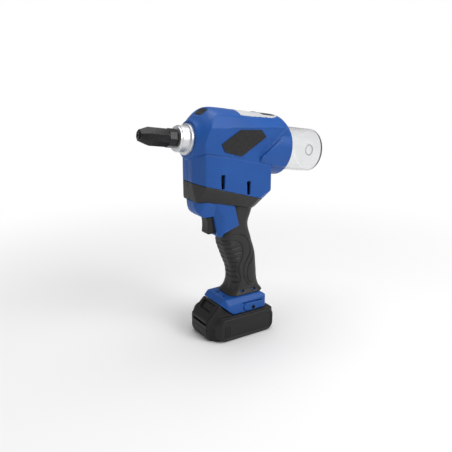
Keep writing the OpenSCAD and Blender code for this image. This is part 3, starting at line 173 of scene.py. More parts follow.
# Handle stations: height, centre, half depth, half width
HANDLE = [
    (40, 12.5, 31, 24), (59, 12.6, 29.5, 23), (66, 13.2, 25, 20), (72, 13.6, 23.1, 18.6), (94, 12.8, 21.5, 18),
    (118, 7, 24.4, 18.5), (142, -0.35, 24.8, 18), (164, -1.2, 20.8, 17), (186, 6, 20, 17), (200, 9, 19, 14),
    (215, 9, 18, 12),
]
HANDLE_CORNER = 13.0
HANDLE_TOP = 202.0
FOOT_TOP = 58.7
RIB_PITCH = 7.8
RIB_SLOPE = 0.08
CURL_LINE = (1.3, 0.9, 0.45)
RIB_PANEL = [
    (-60, 145.5), (-28, 144), (-14, 143), (-1.5, 140.5), (4.0, 133), (5.2, 122), (2.5, 112.8), (-1.5, 105.2),
    (-1.5, 93.5), (2.4, 83), (0.6, 76.5), (-15, 78.5), (-28, 81), (-60, 82),
]
CURL_REAR = [
    (-11, 151.5), (4, 150), (11.5, 144), (16.6, 133.3), (17.8, 121.5), (12.9, 112.4), (7.3, 105.1), (6.5, 91.9),
    (8.5, 81.3), (15, 70.5),
]
CURL_LOOP = [
    (23.5, 133), (25, 121), (19.5, 107.8), (13.9, 100.5), (13.1, 87.1), (14.8, 77.6), (20.8, 71.6), (27.5, 74),
    (30, 82),
]
SKIRT_WINDOWS = [(3.0, 64.2), (23.0, 63.6)]
SKIRT_WINDOW_HALF = (3.0, 1.5)
BRACKET = [
    (-70.6, 207.6), (-69.9, 202), (-68.8, 197), (-66.4, 191.6), (-62.6, 187), (-58, 183.4), (-53, 181.5),
    (-40, 181), (-37.5, 168), (-35.2, 157), (-33.5, 151.6), (-30.3, 151), (-27.5, 156.5), (-2.5, 165),
    (-9.5, 194.5), (-20, 200), (-60, 206),
]
BRACKET_HALF_W = 20.0
BRACKET_NOSE = ((-72.0, 9.0), (-58.1, 20.0))
GUARD = (-40.0, 12.0, 180.0)
GUARD_SLOPE = (0.64, 0.36)

# Foot and battery
FOOT_POINTS = {
    "top_front": (-29.2, 24, 58.7), "top_rear": (33, 26, 58.7), "knee": (-37, 21.6, 52.3), "cheek": (-28, 31, 50),
    "tail_top": (40, 27, 53.5), "side_rear": (36, 31, 53), "low_front": (-19, 32, 36), "low_rear": (36, 32, 36),
    "tail_low": (40, 27, 36),
}
FOOT_MIDDLE = (5.0, 0.0, 47.0)
FOOT_LOW = 36.3
FOOT_SLOT = [(-2.0, 49.7), (30.0, 48.7)]
FOOT_ARC = [(1.6, 47.6), (-0.9, 45.6), (-1.9, 42.6), (-0.9, 39.8), (1.4, 38.0)]
FOOT_LINES = [(FOOT_SLOT, 1.2, 28.0), (FOOT_ARC, 0.75, 29.4)]
FOOT_TOP_SLOT = ((-24.6, 5.4, 55.8), (-19.6, 11.4, 70))
HOOK_HOLE = ((15.5, 40.1), 2.93, 23.6)
WIRE_HOLE = (12.5, 8.0, 42.0, 70.0)
RAIL_SPACE = [
    ((-50, -18.4, 30), (36.4, 18.4, 39.4)),
    ((-50, -21.4, 38.6), (36.4, 21.4, 42.4)),
    ((-20, -23.2, 42.3), (34, 23.2, 55.3)),
]
PACK_H = 36.0
PACK_SPLIT = 17.0
PACK_PLAN = [(-54, 22), (-44.3, 35.6), (44.3, 35.6), (54, 27)]
WEDGE_POINTS = {
    "base": (-54.5, 22, 0), "chin": (-58.5, 22.6, 8), "knee": (-58.5, 22.6, 30.5), "top": (-37.6, 21.6, 52.38),
    "back": (-19.6, 31, 36), "back_low": (-19.6, 31, 8),
}
WEDGE_MIDDLE = (-40.0, 0.0, 30.0)
FRONT_SLOT = ((-70, -19, 22.8), (-51.5, 19, 26.4))
FRONT_GROOVE = (20.3, 0.75, 1.5)
PACK_REAR = (54.0, 14.0)
PACK_SHOULDER = 27.5
PACK_SIDE = 31.5
RAIL = [((-18, -18, 30), (36, 18, 42)), ((-18, -21, 39), (36, 21, 42))]
TERMINAL_SLOTS = (11.0, 0.9, 14.0, 1.6, 38.6)
LATCH_SHARE = 0.66
LATCH_HALF = (6.25, 14.25)
LATCH_GAP = 0.45
LATCH_DEPTHS = (2.4, 5.4, 8.8)
LATCH_RIDGE = (3.1, 0.95, 7.1, 2.5)
PAD_HALF_LEN = 50.1
PAD_Z = (0.6, 34.8)
PAD_CORNER = 11.5
PAD_FACE = (35.6, 39.0)
PAD_WRAP = (29.5, 0.42)
PAD_PANEL = (-42.0, 42.5, 4.8, 30.2, 8.0)
PAD_RIBS = (-38.4, -25.8, 8.0, 25.0, 3.0)
PAD_COMB = (4.1, 1.1)
PAD_INSIDE = 20.0
BOTTLE_MOUTH = 209.8
BOTTLE_END = 283.8
BOTTLE_R = 31.3
BOTTLE_WALL = 1.8
BOTTLE_CORNER = 5.0
# Painted shade on the bottle's rear edge: where it starts along the barrel and in radius, and its band of
# distance from the corner's middle
BOTTLE_SHADE_EDGE = (277.2, 26.6)
BOTTLE_SHADE_SKIN = (4.2, 4.6)
GATE_R = 7.5
GATE_S = (282.3, 282.6)

# Radii of the moulded edges
EDGE_R = {
    "head": 0.7, "barrel": 0.9, "body": 1.2, "band": 0.7, "bracket": 1.8, "foot": 1.0, "vent": 1.3, "shell": 0.45,
    "grip": 0.4, "trigger": 1.7, "pack": 1.8, "wedge": 2.0, "base": 2.0, "case": 0.4, "latch": 0.7, "pad": 2.2,
}


# Distance fields: each takes coordinates in millimetres and is negative inside


def rounded(radius, *fields):
    """Common part of the fields, with its outer edges rounded."""
    worst = fields[0]
    total = np.square(np.maximum(fields[0] + radius, 0))
    for field in fields[1:]:
        worst = np.maximum(worst, field)
        total = total + np.square(np.maximum(field + radius, 0))
    return np.minimum(worst, -radius) + np.sqrt(total)


def joined(radius, a, b):
    """Union of two fields with a fillet where they meet."""
    total = np.square(np.maximum(radius - a, 0)) + np.square(np.maximum(radius - b, 0))
    return np.maximum(np.minimum(a, b), radius) - np.sqrt(total)


def either(*fields):
    """Plain union."""
    low = fields[0]
    for field in fields[1:]:
        low = np.minimum(low, field)
    return low


def ramp(value, width):
    """1 well below zero, 0 well above it, smooth between."""
    t = np.clip(0.5 - value / (2 * width), 0, 1)
    return t * t * (3 - 2 * t)


def block(x, y, z, low, high):
    """A box between two corners."""
    return np.maximum(
        np.maximum(np.maximum(low[0] - x, x - high[0]), np.maximum(low[1] - y, y - high[1])),
        np.maximum(low[2] - z, z - high[2]),
    )


def outline(u, v, points):
    """Signed distance to a closed polygon."""
    best = None
    sign = None
    count = len(points)
    for i in range(count):
        ax, ay = points[i]
        bx, by = points[(i + 1) % count]
        ex, ey = bx - ax, by - ay
        t = np.clip(((u - ax) * ex + (v - ay) * ey) / (ex * ex + ey * ey), 0, 1)
        gap = np.square(u - ax - t * ex) + np.square(v - ay - t * ey)
        best = gap if best is None else np.minimum(best, gap)
        crosses = ((ay > v) != (by > v)) & (u < ax + ex * (v - ay) / (ey if ey else 1e-9))
        sign = crosses if sign is None else sign ^ crosses
    return np.where(sign, -1.0, 1.0) * np.sqrt(best)


def line_gap(u, v, points):
    """Distance to an open line through points."""
    best = None
    for (ax, ay), (bx, by) in zip(points, points[1:]):
        ex, ey = bx - ax, by - ay
        t = np.clip(((u - ax) * ex + (v - ay) * ey) / (ex * ex + ey * ey), 0, 1)
        gap = np.square(u - ax - t * ex) + np.square(v - ay - t * ey)
        best = gap if best is None else np.minimum(best, gap)
    return np.sqrt(best)


def softened(points, closed=True, rounds=2):
    """Cuts the corners of a line of points, so that it bends smoothly."""
    for _ in range(rounds):
        ends = zip(points, points[1:] + points[:1]) if closed else zip(points, points[1:])
        fresh = []
        for (ax, ay), (bx, by) in ends:
            fresh.append((0.75 * ax + 0.25 * bx, 0.75 * ay + 0.25 * by))
            fresh.append((0.25 * ax + 0.75 * bx, 0.25 * ay + 0.75 * by))
        points = fresh if closed else [points[0]] + fresh + [points[-1]]
    return points


def through(place, knots, column=1):
    """Smooth curve through knots, read at the given places."""
    xs = np.array([k[0] for k in knots], float)
    ys = np.array([k[column] for k in knots], float)
    slopes = np.gradient(ys, xs)
    i = np.clip(np.searchsorted(xs, place) - 1, 0, len(xs) - 2)
    span = xs[i + 1] - xs[i]
    t = np.clip((place - xs[i]) / span, 0, 1)
    a = 2 * t**3 - 3 * t**2 + 1
    b = t**3 - 2 * t**2 + t
    c = 3 * t**2 - 2 * t**3
    d = t**3 - t**2
    return a * ys[i] + b * span * slopes[i] + c * ys[i + 1] + d * span * slopes[i + 1]


def plane(x, y, z, p, q, r, inside):
    """Distance from the plane through three points, negative on the inside point's side."""
    p, q, r = Vector(p), Vector(q), Vector(r)
    normal = (q - p).cross(r - p).normalized()
    if normal.dot(Vector(inside) - p) > 0:
        normal = -normal
    return (x - p.x) * normal.x + (y - p.y) * normal.y + (z - p.z) * normal.z


def edge_plane(u, v, a, b, inside):
    """Distance from the line through two points of a section."""
    ex, ey = b[0] - a[0], b[1] - a[1]
    size = math.hypot(ex, ey)
    nx, ny = ey / size, -ex / size
    if nx * (inside[0] - a[0]) + ny * (inside[1] - a[1]) > 0:
        nx, ny = -nx, -ny
    return (u - a[0]) * nx + (v - a[1]) * ny


def barrel(x, z):
    """Station along the barrel and height over its axis."""
    dx, dz = x - TIP.x, z - TIP.z
    return dx * BACK_X + dz * BACK_Z, dz * BACK_X - dx * BACK_Z


def head(x, y, z):
    """Domed head with bevelled flat sides and the round barrel behind the slanted step."""
    s, h = barrel(x, z)
    w = np.abs(y)
    r = np.sqrt(np.square(y) + np.square(h))
    slope = through(s + 0.5, DOME) - through(s - 0.5, DOME)
    dome = (r - through(s, DOME)) / np.sqrt(1 + np.square(slope))
    field = outline(s, h, FIELD)
    depth, half, blur = FIELD_LINE
    side = w - HEAD_HALF_W + FIELD_DEPTH[0] * ramp(field, FIELD_DEPTH[1])
    side = side + depth * ramp(np.abs(field) - half, blur)
    foot_h = BEVEL_FOOT[1] + BEVEL_FOOT[2] * (s - BEVEL_FOOT[0])
    rise = BEVEL_TOP[1] - foot_h
    lean = HEAD_HALF_W - BEVEL_TOP[0]
    bevel = ((w - HEAD_HALF_W) * rise + (h - foot_h) * lean) / np.hypot(rise, lean)
    low = SIDE_FOOT[1] + SIDE_FOOT[2] * (s - SIDE_FOOT[0])
    shelf = (low - SHELF_SLOPE * (HEAD_HALF_W - w) - h) / math.hypot(1, SHELF_SLOPE)
    belly = edge_plane(w, h, *BELLY, (0, 0))
    ends = (HEAD_S - s, s - HEAD_END + 1)
    body = rounded(EDGE_R["head"], dome, side, bevel, *ends, shelf, belly, BELLY[-1][1] - h)
    step = -(s - STEP_FOOT[0]) * math.sin(STEP_TURN) + (h - STEP_FOOT[1]) * math.cos(STEP_TURN)
    tube = rounded(EDGE_R["barrel"], r - RIM_R, s - HEAD_END, step, STEP_FOOT[0] - s)
    return joined(0.3, body, tube)


def motor_body(x, y, z):
    """Body under the barrel, between its flat sides and slanted belly."""
    w = np.abs(y)
    faces = [plane(x, w, z, *corners, BODY_MIDDLE) for corners in BODY_FACES]
    return rounded(EDGE_R["body"], BODY_FRONT - x, x - BODY_REAR, w - BODY_HALF_W, z - BODY_TOP, *faces)


def above_band(x, z):
    """Height over the slanted upper edge of the dark band."""
    return (x - BAND_EDGE[0]) * math.sin(BAND_SLOPE) + (z - BAND_EDGE[1]) * math.cos(BAND_SLOPE)


def handle(x, y, z):
    """Pistol grip with a rounded section that follows its stations."""
    centre = through(z, HANDLE, 1)
    corner = HANDLE_CORNER
    qx = np.abs(x - centre) - (through(z, HANDLE, 2) - corner)
    qy = np.abs(y) - np.maximum(through(z, HANDLE, 3) - corner, 0)
    outside = np.sqrt(np.square(np.maximum(qx, 0)) + np.square(np.maximum(qy, 0)))
    return np.maximum(outside + np.minimum(np.maximum(qx, qy), 0) - corner, z - HANDLE_TOP)


def bracket(x, y, z):
    """Switch bracket between the motor body and the trigger, with the guard behind the trigger."""
    w = np.abs(y)
    nose = edge_plane(x, w, *BRACKET_NOSE, (0, 0))
    back, up = GUARD_SLOPE
    reach = GUARD[1] + back * np.maximum(x - GUARD[0], 0) + up * np.maximum(z - GUARD[2], 0)
    guard = (w - reach) / math.hypot(1, back, up)
    return rounded(EDGE_R["bracket"], outline(x, z, BRACKET), w - BRACKET_HALF_W, nose, guard)


def foot(x, y, z):
    """Foot over the battery rail."""
    w = np.abs(y)
    p = FOOT_POINTS

    def face(a, b, c):
        return plane(x, w, z, a, b, c, FOOT_MIDDLE)

    def level(name):
        return (p[name][0], 0, p[name][2])

    return rounded(
        EDGE_R["foot"],
        z - FOOT_TOP,
        FOOT_LOW - z,
        x - p["tail_top"][0],
        face(p["knee"], level("knee"), p["top_front"]),
        face(p["knee"], level("knee"), level("low_front")),
        face(p["top_front"], p["top_rear"], p["side_rear"]),
        face(p["cheek"], p["low_front"], p["low_rear"]),
        face(p["knee"], p["cheek"], p["top_front"]),
        face(p["side_rear"], p["tail_top"], p["tail_low"]),
        face(p["top_rear"], level("top_rear"), p["tail_top"]),
    )


def across(x, z, y, place, radius, low, high):
    """A round hole across the tool, from one side plane to another."""
    return np.maximum(np.hypot(x - place[0], z - place[1]) - radius, np.maximum(low - y, y - high))


def vents(x, y, z):
    """Tapered air slots with rounded corners, through both sides."""
    low_w, top_w = VENT_HALF_W
    slots = None
    for place, low, high in VENTS:
        half = low_w + np.clip((z - low) / (high - low), 0, 1) * (top_w - low_w)
        slot = rounded(EDGE_R["vent"], np.abs(x - place) - half, low - z, z - high)
        slot = np.maximum(slot, VENT_FLOOR - np.abs(y))
        slots = slot if slots is None else np.minimum(slots, slot)
    return slots


def plunger(x, y, z, radius, low, high):
    """A round bar along the tool, in line with the trigger's switch."""
    return np.maximum(np.hypot(y, z - ROD_Z) - radius, np.maximum(low - x, x - high))


def trigger_space(x, y, z):
    """Slot for the trigger and the room of its switch."""
    return either(block(x, y, z, *TRIGGER_SLOT), block(x, y, z, *SWITCH_ROOM), plunger(x, y, z, *ROD_HOLE))


def rail_space(x, y, z):
    """Channel for the battery's rail, with the terminal room over it."""
    return either(*(block(x, y, z, *corners) for corners in RAIL_SPACE))


def lens_frame(s, y, h):
    """Height over the flat of the work light, and distance from its outline."""
    ds, dh = s - LENS_PLACE[0], h - LENS_PLACE[1]
    along = ds * math.cos(LENS_TURN) + dh * math.sin(LENS_TURN)
    over = dh * math.cos(LENS_TURN) - ds * math.sin(LENS_TURN)
    qa = np.abs(along) - LENS_SIZE[0] + LENS_CORNER
    qy = np.abs(y) - LENS_SIZE[1] + LENS_CORNER
    outside = np.hypot(np.maximum(qa, 0), np.maximum(qy, 0))
    return over, outside + np.minimum(np.maximum(qa, qy), 0) - LENS_CORNER


def lens_space(s, y, h):
    """Flat on the front slope, with the recess for the work light."""
    over, edge = lens_frame(s, y, h)
    flat = np.maximum(edge - LENS_FACET + LENS_SIZE[1], -over)
    return either(flat, np.maximum(edge - 0.15, -over - LENS_SIZE[2] - 0.1))


def lens_shape(x, y, z):
    """Window of the work light, with two round lamps behind its face."""
    s, h = barrel(x, z)
    over, edge = lens_frame(s, y, h)
    lamps = np.hypot(np.abs(y) - LENS_LAMPS[0], edge + LENS_LAMPS[1]) - LENS_LAMPS[2]
    face = over + 0.05 + 0.35 * ramp(lamps, 0.4)
    return rounded(0.4, edge, face, -over - LENS_SIZE[2])


def display_shape(x, y, z):
    """Dark window on the rear part of the control panel, arched with it."""
    s, h = barrel(x, z)
    low, high, half_w = DISPLAY
    r = np.hypot(y, h)
    edge = rounded(2.5, low - s, s - high, np.abs(y) - half_w)
    return rounded(0.12, edge, r - DISPLAY_R[1], DISPLAY_R[0] - r)


def panel_space(s, y, h, r):
    """Seat of the control panel in the arched top, with the button's hole."""
    arc = np.hypot(np.maximum(s - PANEL_END + PANEL_HALF_W, 0), y) - PANEL_HALF_W
    seat = np.maximum(np.maximum(arc, PANEL_S - s), np.maximum(PANEL_FLOOR - r, -h)) - 0.08
    button = np.maximum(np.hypot(s - BUTTON_S, y) - BUTTON_HOLE_R, BUTTON_FLOOR - h)
    return either(seat, button)


def notches(s, y, h, r):
    """Two gaps in the rear lip that let the bottle's lugs out."""
    middle, half = NOTCH_TURN
    turn = np.abs(np.mod(np.arctan2(h, y) - middle + math.pi / 2, math.pi) - math.pi / 2)
    return np.maximum(np.maximum(r - NOTCH_R[1], NOTCH_S - s), (turn - half) * NOTCH_R[0])


def screw_places():
    """Side places of the housing screws, from their CAD solids: x, z and the head's face."""
    node = frame["nodes"]["housing_screws"]
    co = np.array([v.co for v in node.data.vertices]) / MM
    places = []
    left = co
    while len(left):
        near = np.hypot(left[:, 0] - left[0, 0], left[:, 2] - left[0, 2]) < 8
        one = left[near]
        middle = (one.min(0) + one.max(0)) / 2
        places.append((middle[0], middle[2], one[:, 1].max()))
        left = left[~near]
    return places


SCREWS = screw_places()


def housing(x, y, z, side):
    """One hard shell half, hollow as in CAD, with every hole that shows."""
    s, h = barrel(x, z)
    r = np.sqrt(np.square(y) + np.square(h))
    top = head(x, y, z)
    body = motor_body(x, y, z)
    grip = handle(x, y, z)
    upper = rounded(0.5, body, SEAM - above_band(x, z))
    stem = np.maximum(grip + STEM_SKIN, FOOT_TOP - STEM_FOOT - z)
    outside = joined(0.15, top, upper)
    outside = either(outside, body + SKIN, stem, bracket(x, y, z), block(x, y, z, *NECK), foot(x, y, z))
    room = either(
        np.maximum(top + SHELL_WALL, np.maximum(HEAD_S + FRONT_WALL - s, s - SOCKET_S)),
        body + SKIN + SHELL_WALL,
        np.maximum(grip + STEM_SKIN + SHELL_WALL, FOOT_TOP - z),
    )
    holes = []
    for bx, bz, face in SCREWS:
        room = np.maximum(room, BOSS_R - np.hypot(x - bx, z - bz))
        radius, depth = SCREW_HEAD_HOLE
        holes.append(across(x, z, y, (bx, bz), radius, face - depth, FAR))
        holes.append(across(x, z, y, (bx, bz), *SCREW_HOLE, FAR))
    w = np.abs(y)
    spaces = either(
        room,
        *holes,
        np.maximum(r - POCKET_R, np.maximum(SOCKET_S - 0.02 - s, s - LIP_S)),
        np.maximum(r - LIP_R, SOCKET_S - s),
        np.maximum(r - COLLAR_HOLE_R, s - HEAD_S - COLLAR_SEAT),
        trigger_space(x, y, z),
        rail_space(x, y, z),
        np.maximum(np.hypot(x - WIRE_HOLE[0], y) - WIRE_HOLE[1], np.maximum(WIRE_HOLE[2] - z, z - WIRE_HOLE[3])),
        vents(x, y, z),
        lens_space(s, y, h),
        panel_space(s, y, h, r),
        notches(s, y, h, r),
        np.maximum(np.hypot(top, upper) - SEAM_GROOVE[0], SEAM_GROOVE[1] - w),
        across(x, z, w, *HOOK_HOLE, FAR),
        *(np.maximum(line_gap(x, z, line) - half, floor - w) for line, half, floor in FOOT_LINES),
        block(x, w, z, *FOOT_TOP_SLOT),
    )
    return rounded(EDGE_R["shell"], outside, -spaces, side * -y + SEAM / 2)


def soft_grip(x, y, z, side):
    """One half of the soft skin: band round the motor body, handle and skirt, with its moulded lines."""
    w = np.abs(y)
    body = motor_body(x, y, z)
    stem = handle(x, y, z)
    band = rounded(EDGE_R["band"], body, above_band(x, z) + SEAM)
    shape = joined(5.0, band, rounded(EDGE_R["band"], stem, FOOT_TOP + 0.06 - z))
    on_side = ramp(9.0 - w, 2.5)
    panel = outline(x, z, softened(RIB_PANEL))
    lines = np.abs(panel)
    for curl in (CURL_REAR, CURL_LOOP):
        lines = np.minimum(lines, line_gap(x, z, softened(curl, closed=False)))
    wave = np.cos((z - RIB_SLOPE * x) * 2 * math.pi / RIB_PITCH)
    ribs = 1.0 * ramp(panel + 2.4, 1.0) * ramp(0.62 - wave, 0.3)
    depth, half, blur = CURL_LINE
    shape = shape + np.maximum(depth * on_side * ramp(lines - half, blur), ribs)
    wide, tall = SKIRT_WINDOW_HALF
    spaces = either(
        body + SKIN - 0.05,
        stem + STEM_SKIN - 0.05,
        bracket(x, y, z) - 0.12,
        block(x, y, z, *NECK_SEAT),
        head(x, y, z) - 0.12,
        trigger_space(x, y, z),
        vents(x, y, z),
        *(across(x, z, y, place[:2], *GRIP_SCREW_HOLE, FAR) for place in SCREWS),
        *(block(x, w, z, (px - wide, 10, pz - tall), (px + wide, FAR, pz + tall)) for px, pz in SKIRT_WINDOWS),
    )
    return rounded(EDGE_R["grip"], shape, -spaces, side * -y + SEAM / 2)


def trigger_shape(x, y, z):
    """Finger trigger with a hollowed face, and its plunger."""
    blade = rounded(EDGE_R["trigger"], outline(x, z, TRIGGER), np.abs(y) - TRIGGER_HALF_W)
    return either(blade, plunger(x, y, z, *ROD))


def pack_walls(x, y):
    """Plan of the battery pack's core."""
    plan = PACK_PLAN + [(px, -py) for px, py in reversed(PACK_PLAN)]
    return outline(x, y, softened(plan, rounds=2))


def pack_core(x, y, z):
    """Core of the battery pack, bevelled over its front corners and rounded at the rear."""
    corner = edge_plane(x, np.abs(y), *PACK_PLAN[:2], (0, 0))
    rear = rounded(PACK_REAR[1], x - PACK_REAR[0], z - PACK_H)
    shoulder = (corner + z - PACK_SHOULDER) / math.sqrt(2)
    flank = (np.abs(y) - PAD_FACE[0] + z - PACK_SIDE) / math.sqrt(2)
    return rounded(EDGE_R["pack"], pack_walls(x, y), z - PACK_H, rear, shoulder, flank)


def pack_wedge(x, y, z):
    """Wedge in front of the foot, with the slope that carries the release button."""
    w = np.abs(y)
    p = WEDGE_POINTS

    def face(a, b, c):
        return plane(x, w, z, a, b, c, WEDGE_MIDDLE)

    def level(name):
        return (p[name][0], 0, p[name][2])

    return rounded(
        EDGE_R["wedge"],
        p["knee"][0] - x,
        x - p["back"][0],
        -z,
        face(p["base"], level("base"), p["chin"]),
        face(p["knee"], level("knee"), p["top"]),
        face(p["top"], level("top"), level("back")),
        face(p["knee"], p["top"], p["back"]),
        face(p["knee"], p["chin"], p["back_low"]),
    )


def front_groove(x, y, end):
    """Depth of the two upright grooves in the front of the battery, up to an end."""
    place, half, depth = FRONT_GROOVE
    return depth * ramp(np.abs(np.abs(y) - place) - half, 0.4) * ramp(x - end, 1.5)


def pack_upper(x, y, z):
    """Upper case of the battery with its wedge front, rail and latch pocket."""
    case = np.maximum(pack_core(x, y, z), PACK_SPLIT - 4 - z)
    front = joined(1.5, case, pack_wedge(x, y, z)) + front_groove(x, y, -36)
    outside = either(front, *(block(x, y, z, *corners) for corners in RAIL))
    room = np.maximum(case + SHELL_WALL, -x - 50)
    pitch, half, reach, start, floor = TERMINAL_SLOTS
    slots = np.abs(np.mod(y + pitch / 2, pitch) - pitch / 2) - half
    slots = np.maximum(np.maximum(slots, np.abs(y) - reach), np.maximum(start - x, floor - z))
    slit = block(x, y, z, *FRONT_SLOT)
    return rounded(EDGE_R["case"], outside, -room, -latch_pocket(x, y, z), -slots, -slit, PACK_SPLIT - z)


def latch_frame(x, z):
    """Along and over the wedge's slope, measured from the middle of the latch."""
    ax, az = WEDGE_POINTS["knee"][0], WEDGE_POINTS["knee"][2]
    bx, bz = WEDGE_POINTS["top"][0], WEDGE_POINTS["top"][2]
    size = math.hypot(bx - ax, bz - az)
    ux, uz = (bx - ax) / size, (bz - az) / size
    cx, cz = ax + LATCH_SHARE * (bx - ax), az + LATCH_SHARE * (bz - az)
    return (x - cx) * ux + (z - cz) * uz, (z - cz) * ux - (x - cx) * uz


def latch_pocket(x, y, z):
    """Pocket of the release button in the wedge's slope."""
    along, over = latch_frame(x, z)
    half_len, half_w = LATCH_HALF
    sides = np.maximum(np.abs(along) - half_len - LATCH_GAP, np.abs(y) - half_w - LATCH_GAP)
    return np.maximum(sides, -over - LATCH_DEPTHS[2])


def latch_shape(x, y, z):
    """Release button with three finger ridges."""
    along, over = latch_frame(x, z)
    half_len, half_w = LATCH_HALF
    top, floor = LATCH_DEPTHS[:2]
    plate = rounded(EDGE_R["latch"], np.abs(along) - half_len, np.abs(y) - half_w, over + top, -over - floor)
    pitch, radius, half, sunk = LATCH_RIDGE
    for k in (-1, 0, 1):
        ridge = np.maximum(np.hypot(along - pitch * k, over + sunk) - radius, np.abs(y) - half)
        plate = joined(0.4, plate, ridge)
    return plate


def pack_lower(x, y, z):
    """Lower case of the battery, with a rounded base edge."""
    walls = pack_walls(x, y)
    case = np.maximum(joined(1.5, rounded(EDGE_R["base"], walls, -z), pack_wedge(x, y, z)), -z)
    case = case + front_groove(x, y, -45)
    room = np.maximum(walls + SHELL_WALL, SHELL_WALL - z)
    return rounded(0.3, case, -room, z - PACK_SPLIT + 0.03)


def pack_pad(x, y, z, side):
    """Side pad of the battery: a framed panel with a ribbed front part."""
    w = y * side

    def pill(low, high, bottom, top, corner):
        qx = np.abs(x - (low + high) / 2) - (high - low) / 2 + corner
        qz = np.abs(z - (bottom + top) / 2) - (top - bottom) / 2 + corner
        outside = np.hypot(np.maximum(qx, 0), np.maximum(qz, 0))
        return outside + np.minimum(np.maximum(qx, qz), 0) - corner

    reach = PAD_HALF_LEN - PAD_WRAP[1] * np.maximum(w - PAD_WRAP[0], 0)
    pad = rounded(EDGE_R["pad"], pill(-reach, reach, *PAD_Z, PAD_CORNER), w - PAD_FACE[1])
    pad = pad + 1.1 * ramp(pill(*PAD_PANEL), 0.4)
    pitch, half = PAD_COMB
    comb = np.maximum(np.abs(np.mod(x - PAD_RIBS[0], pitch) - pitch / 2) - half, pill(*PAD_RIBS))
    pad = pad - 0.9 * ramp(comb, 0.35)
    return rounded(0.2, pad, PAD_INSIDE - w, 0.02 - pack_walls(x, y))


# Skinning of the fields, sampled in slabs of so many rows
SLAB = 24


def net_points(values, low, step):
    """Surface net of a sampled field: points in millimetres and four-sided faces."""
    inside = values < 0
    count = np.zeros([n - 1 for n in values.shape], np.uint8)
    for corner in np.ndindex(2, 2, 2):
        count += inside[tuple(slice(c, n - 1 + c) for c, n in zip(corner, values.shape))]
    mixed = (count > 0) & (count < 8)
    cells = np.argwhere(mixed)
    index = np.full(mixed.shape, -1, np.int64)
    index[mixed] = np.arange(len(cells))
    total = np.zeros((len(cells), 3))
    number = np.zeros(len(cells))
    for axis in range(3):
        others = [a for a in range(3) if a != axis]
        for du, dv in np.ndindex(2, 2):
            a = cells.copy()
            a[:, others[0]] += du
            a[:, others[1]] += dv
            b = a.copy()
            b[:, axis] += 1
            va, vb = values[tuple(a.T)], values[tuple(b.T)]
            hit = (va < 0) != (vb < 0)
            place = a[hit].astype(float)
            place[:, axis] += va[hit] / (va[hit] - vb[hit])
            total[hit] += place
            number[hit] += 1
    points = np.array(low) + step * total / number[:, None]
    quads = []
    for axis in range(3):
        u, v = (axis + 1) % 3, (axis + 2) % 3
        here = [slice(None)] * 3
        here[axis] = slice(0, -1)
        there = [slice(None)] * 3
        there[axis] = slice(1, None)
        first, second = inside[tuple(here)], inside[tuple(there)]
        edges = np.argwhere(first != second)
        edges = edges[(edges[:, u] > 0) & (edges[:, v] > 0)]
        edges = edges[(edges[:, u] < values.shape[u] - 1) & (edges[:, v] < values.shape[v] - 1)]
        ring = []
        for du, dv in ((-1, -1), (0, -1), (0, 0), (-1, 0)):
            cell = edges.copy()
            cell[:, u] += du
            cell[:, v] += dv
            ring.append(index[tuple(cell.T)])
        ring = np.stack(ring, 1)
        flip = ~first[tuple(edges.T)]
        ring[flip] = ring[flip][:, ::-1]
        quads.append(ring)
    return points, np.concatenate(quads)


def settle(points, field, step):
    """Moves the points of a net onto its field's surface."""
    delta = 0.02
    for _ in range(3):
        x, y, z = points.T
        value = field(x, y, z)
        slope = np.stack(
            [
                field(x + delta, y, z) - field(x - delta, y, z),
                field(x, y + delta, z) - field(x, y - delta, z),
                field(x, y, z + delta) - field(x, y, z - delta),
            ],
            1,
        ) / (2 * delta)
        size = np.maximum(np.square(slope).sum(1), 0.25)
        move = -(value / size)[:, None] * slope
        length = np.linalg.norm(move, axis=1)
        move *= np.minimum(1, 0.5 * step / np.maximum(length, 1e-9))[:, None]
        points = points + move
    return points


def skin(name, field, nodes, step):
    """A mesh object on the field's surface, sampled in the box of the CAD nodes."""
    boxes = [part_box(n) for n in nodes]
    margin = 2.5 * step
    low = [min(b[0][i] for b in boxes) / MM - margin for i in range(3)]
    high = [max(b[1][i] for b in boxes) / MM + margin for i in range(3)]
    axes = [np.arange(a, b + step, step) for a, b in zip(low, high)]
    shape = tuple(len(a) for a in axes)
    values = np.empty(shape)
    for start in range(0, shape[0], SLAB):
        part = axes[0][start : start + SLAB]
        sample = field(part[:, None, None], axes[1][None, :, None], axes[2][None, None, :])
        values[start : start + SLAB] = np.broadcast_to(sample, (len(part),) + shape[1:])
    points, quads = net_points(values, [a[0] for a in axes], step)
    points = settle(points, field, step)
    return mesh_object(name, points, quads)


def mesh_object(name, points, faces):
    """A smooth mesh object from points in millimetres."""
    mesh = bpy.data.meshes.new(name)
    mesh.from_pydata((np.asarray(points) * MM).tolist(), [], np.asarray(faces).tolist())
    mesh.validate()
    mesh.shade_smooth()
    piece = bpy.data.objects.new(name, mesh)
    bpy.context.scene.collection.objects.link(piece)
    piece.modifiers.new("Weigh", "WEIGHTED_NORMAL").keep_sharp = True
    return piece


def lathe(name, profile, turns):
    """A turned mesh object round the barrel's axis; the profile is a closed line of station and radius."""
    angles = np.arange(turns) * 2 * math.pi / turns
    rows = []
    for s, r in profile:
        h, y = r * np.cos(angles), r * np.sin(angles)
        rows.append(np.stack([TIP.x + s * BACK_X - h * BACK_Z, y, TIP.z + s * BACK_Z + h * BACK_X], 1))
    points = np.concatenate(rows)
    count = len(profile)
    faces = []
    for i in range(count):
        j = (i + 1) % count
        for k in range(turns):
            m = (k + 1) % turns
            faces.append((i * turns + k, i * turns + m, j * turns + m, j * turns + k))
    return mesh_object(name, points, faces)


# Finishes: shared node groups give masks and heights, each material its own shader


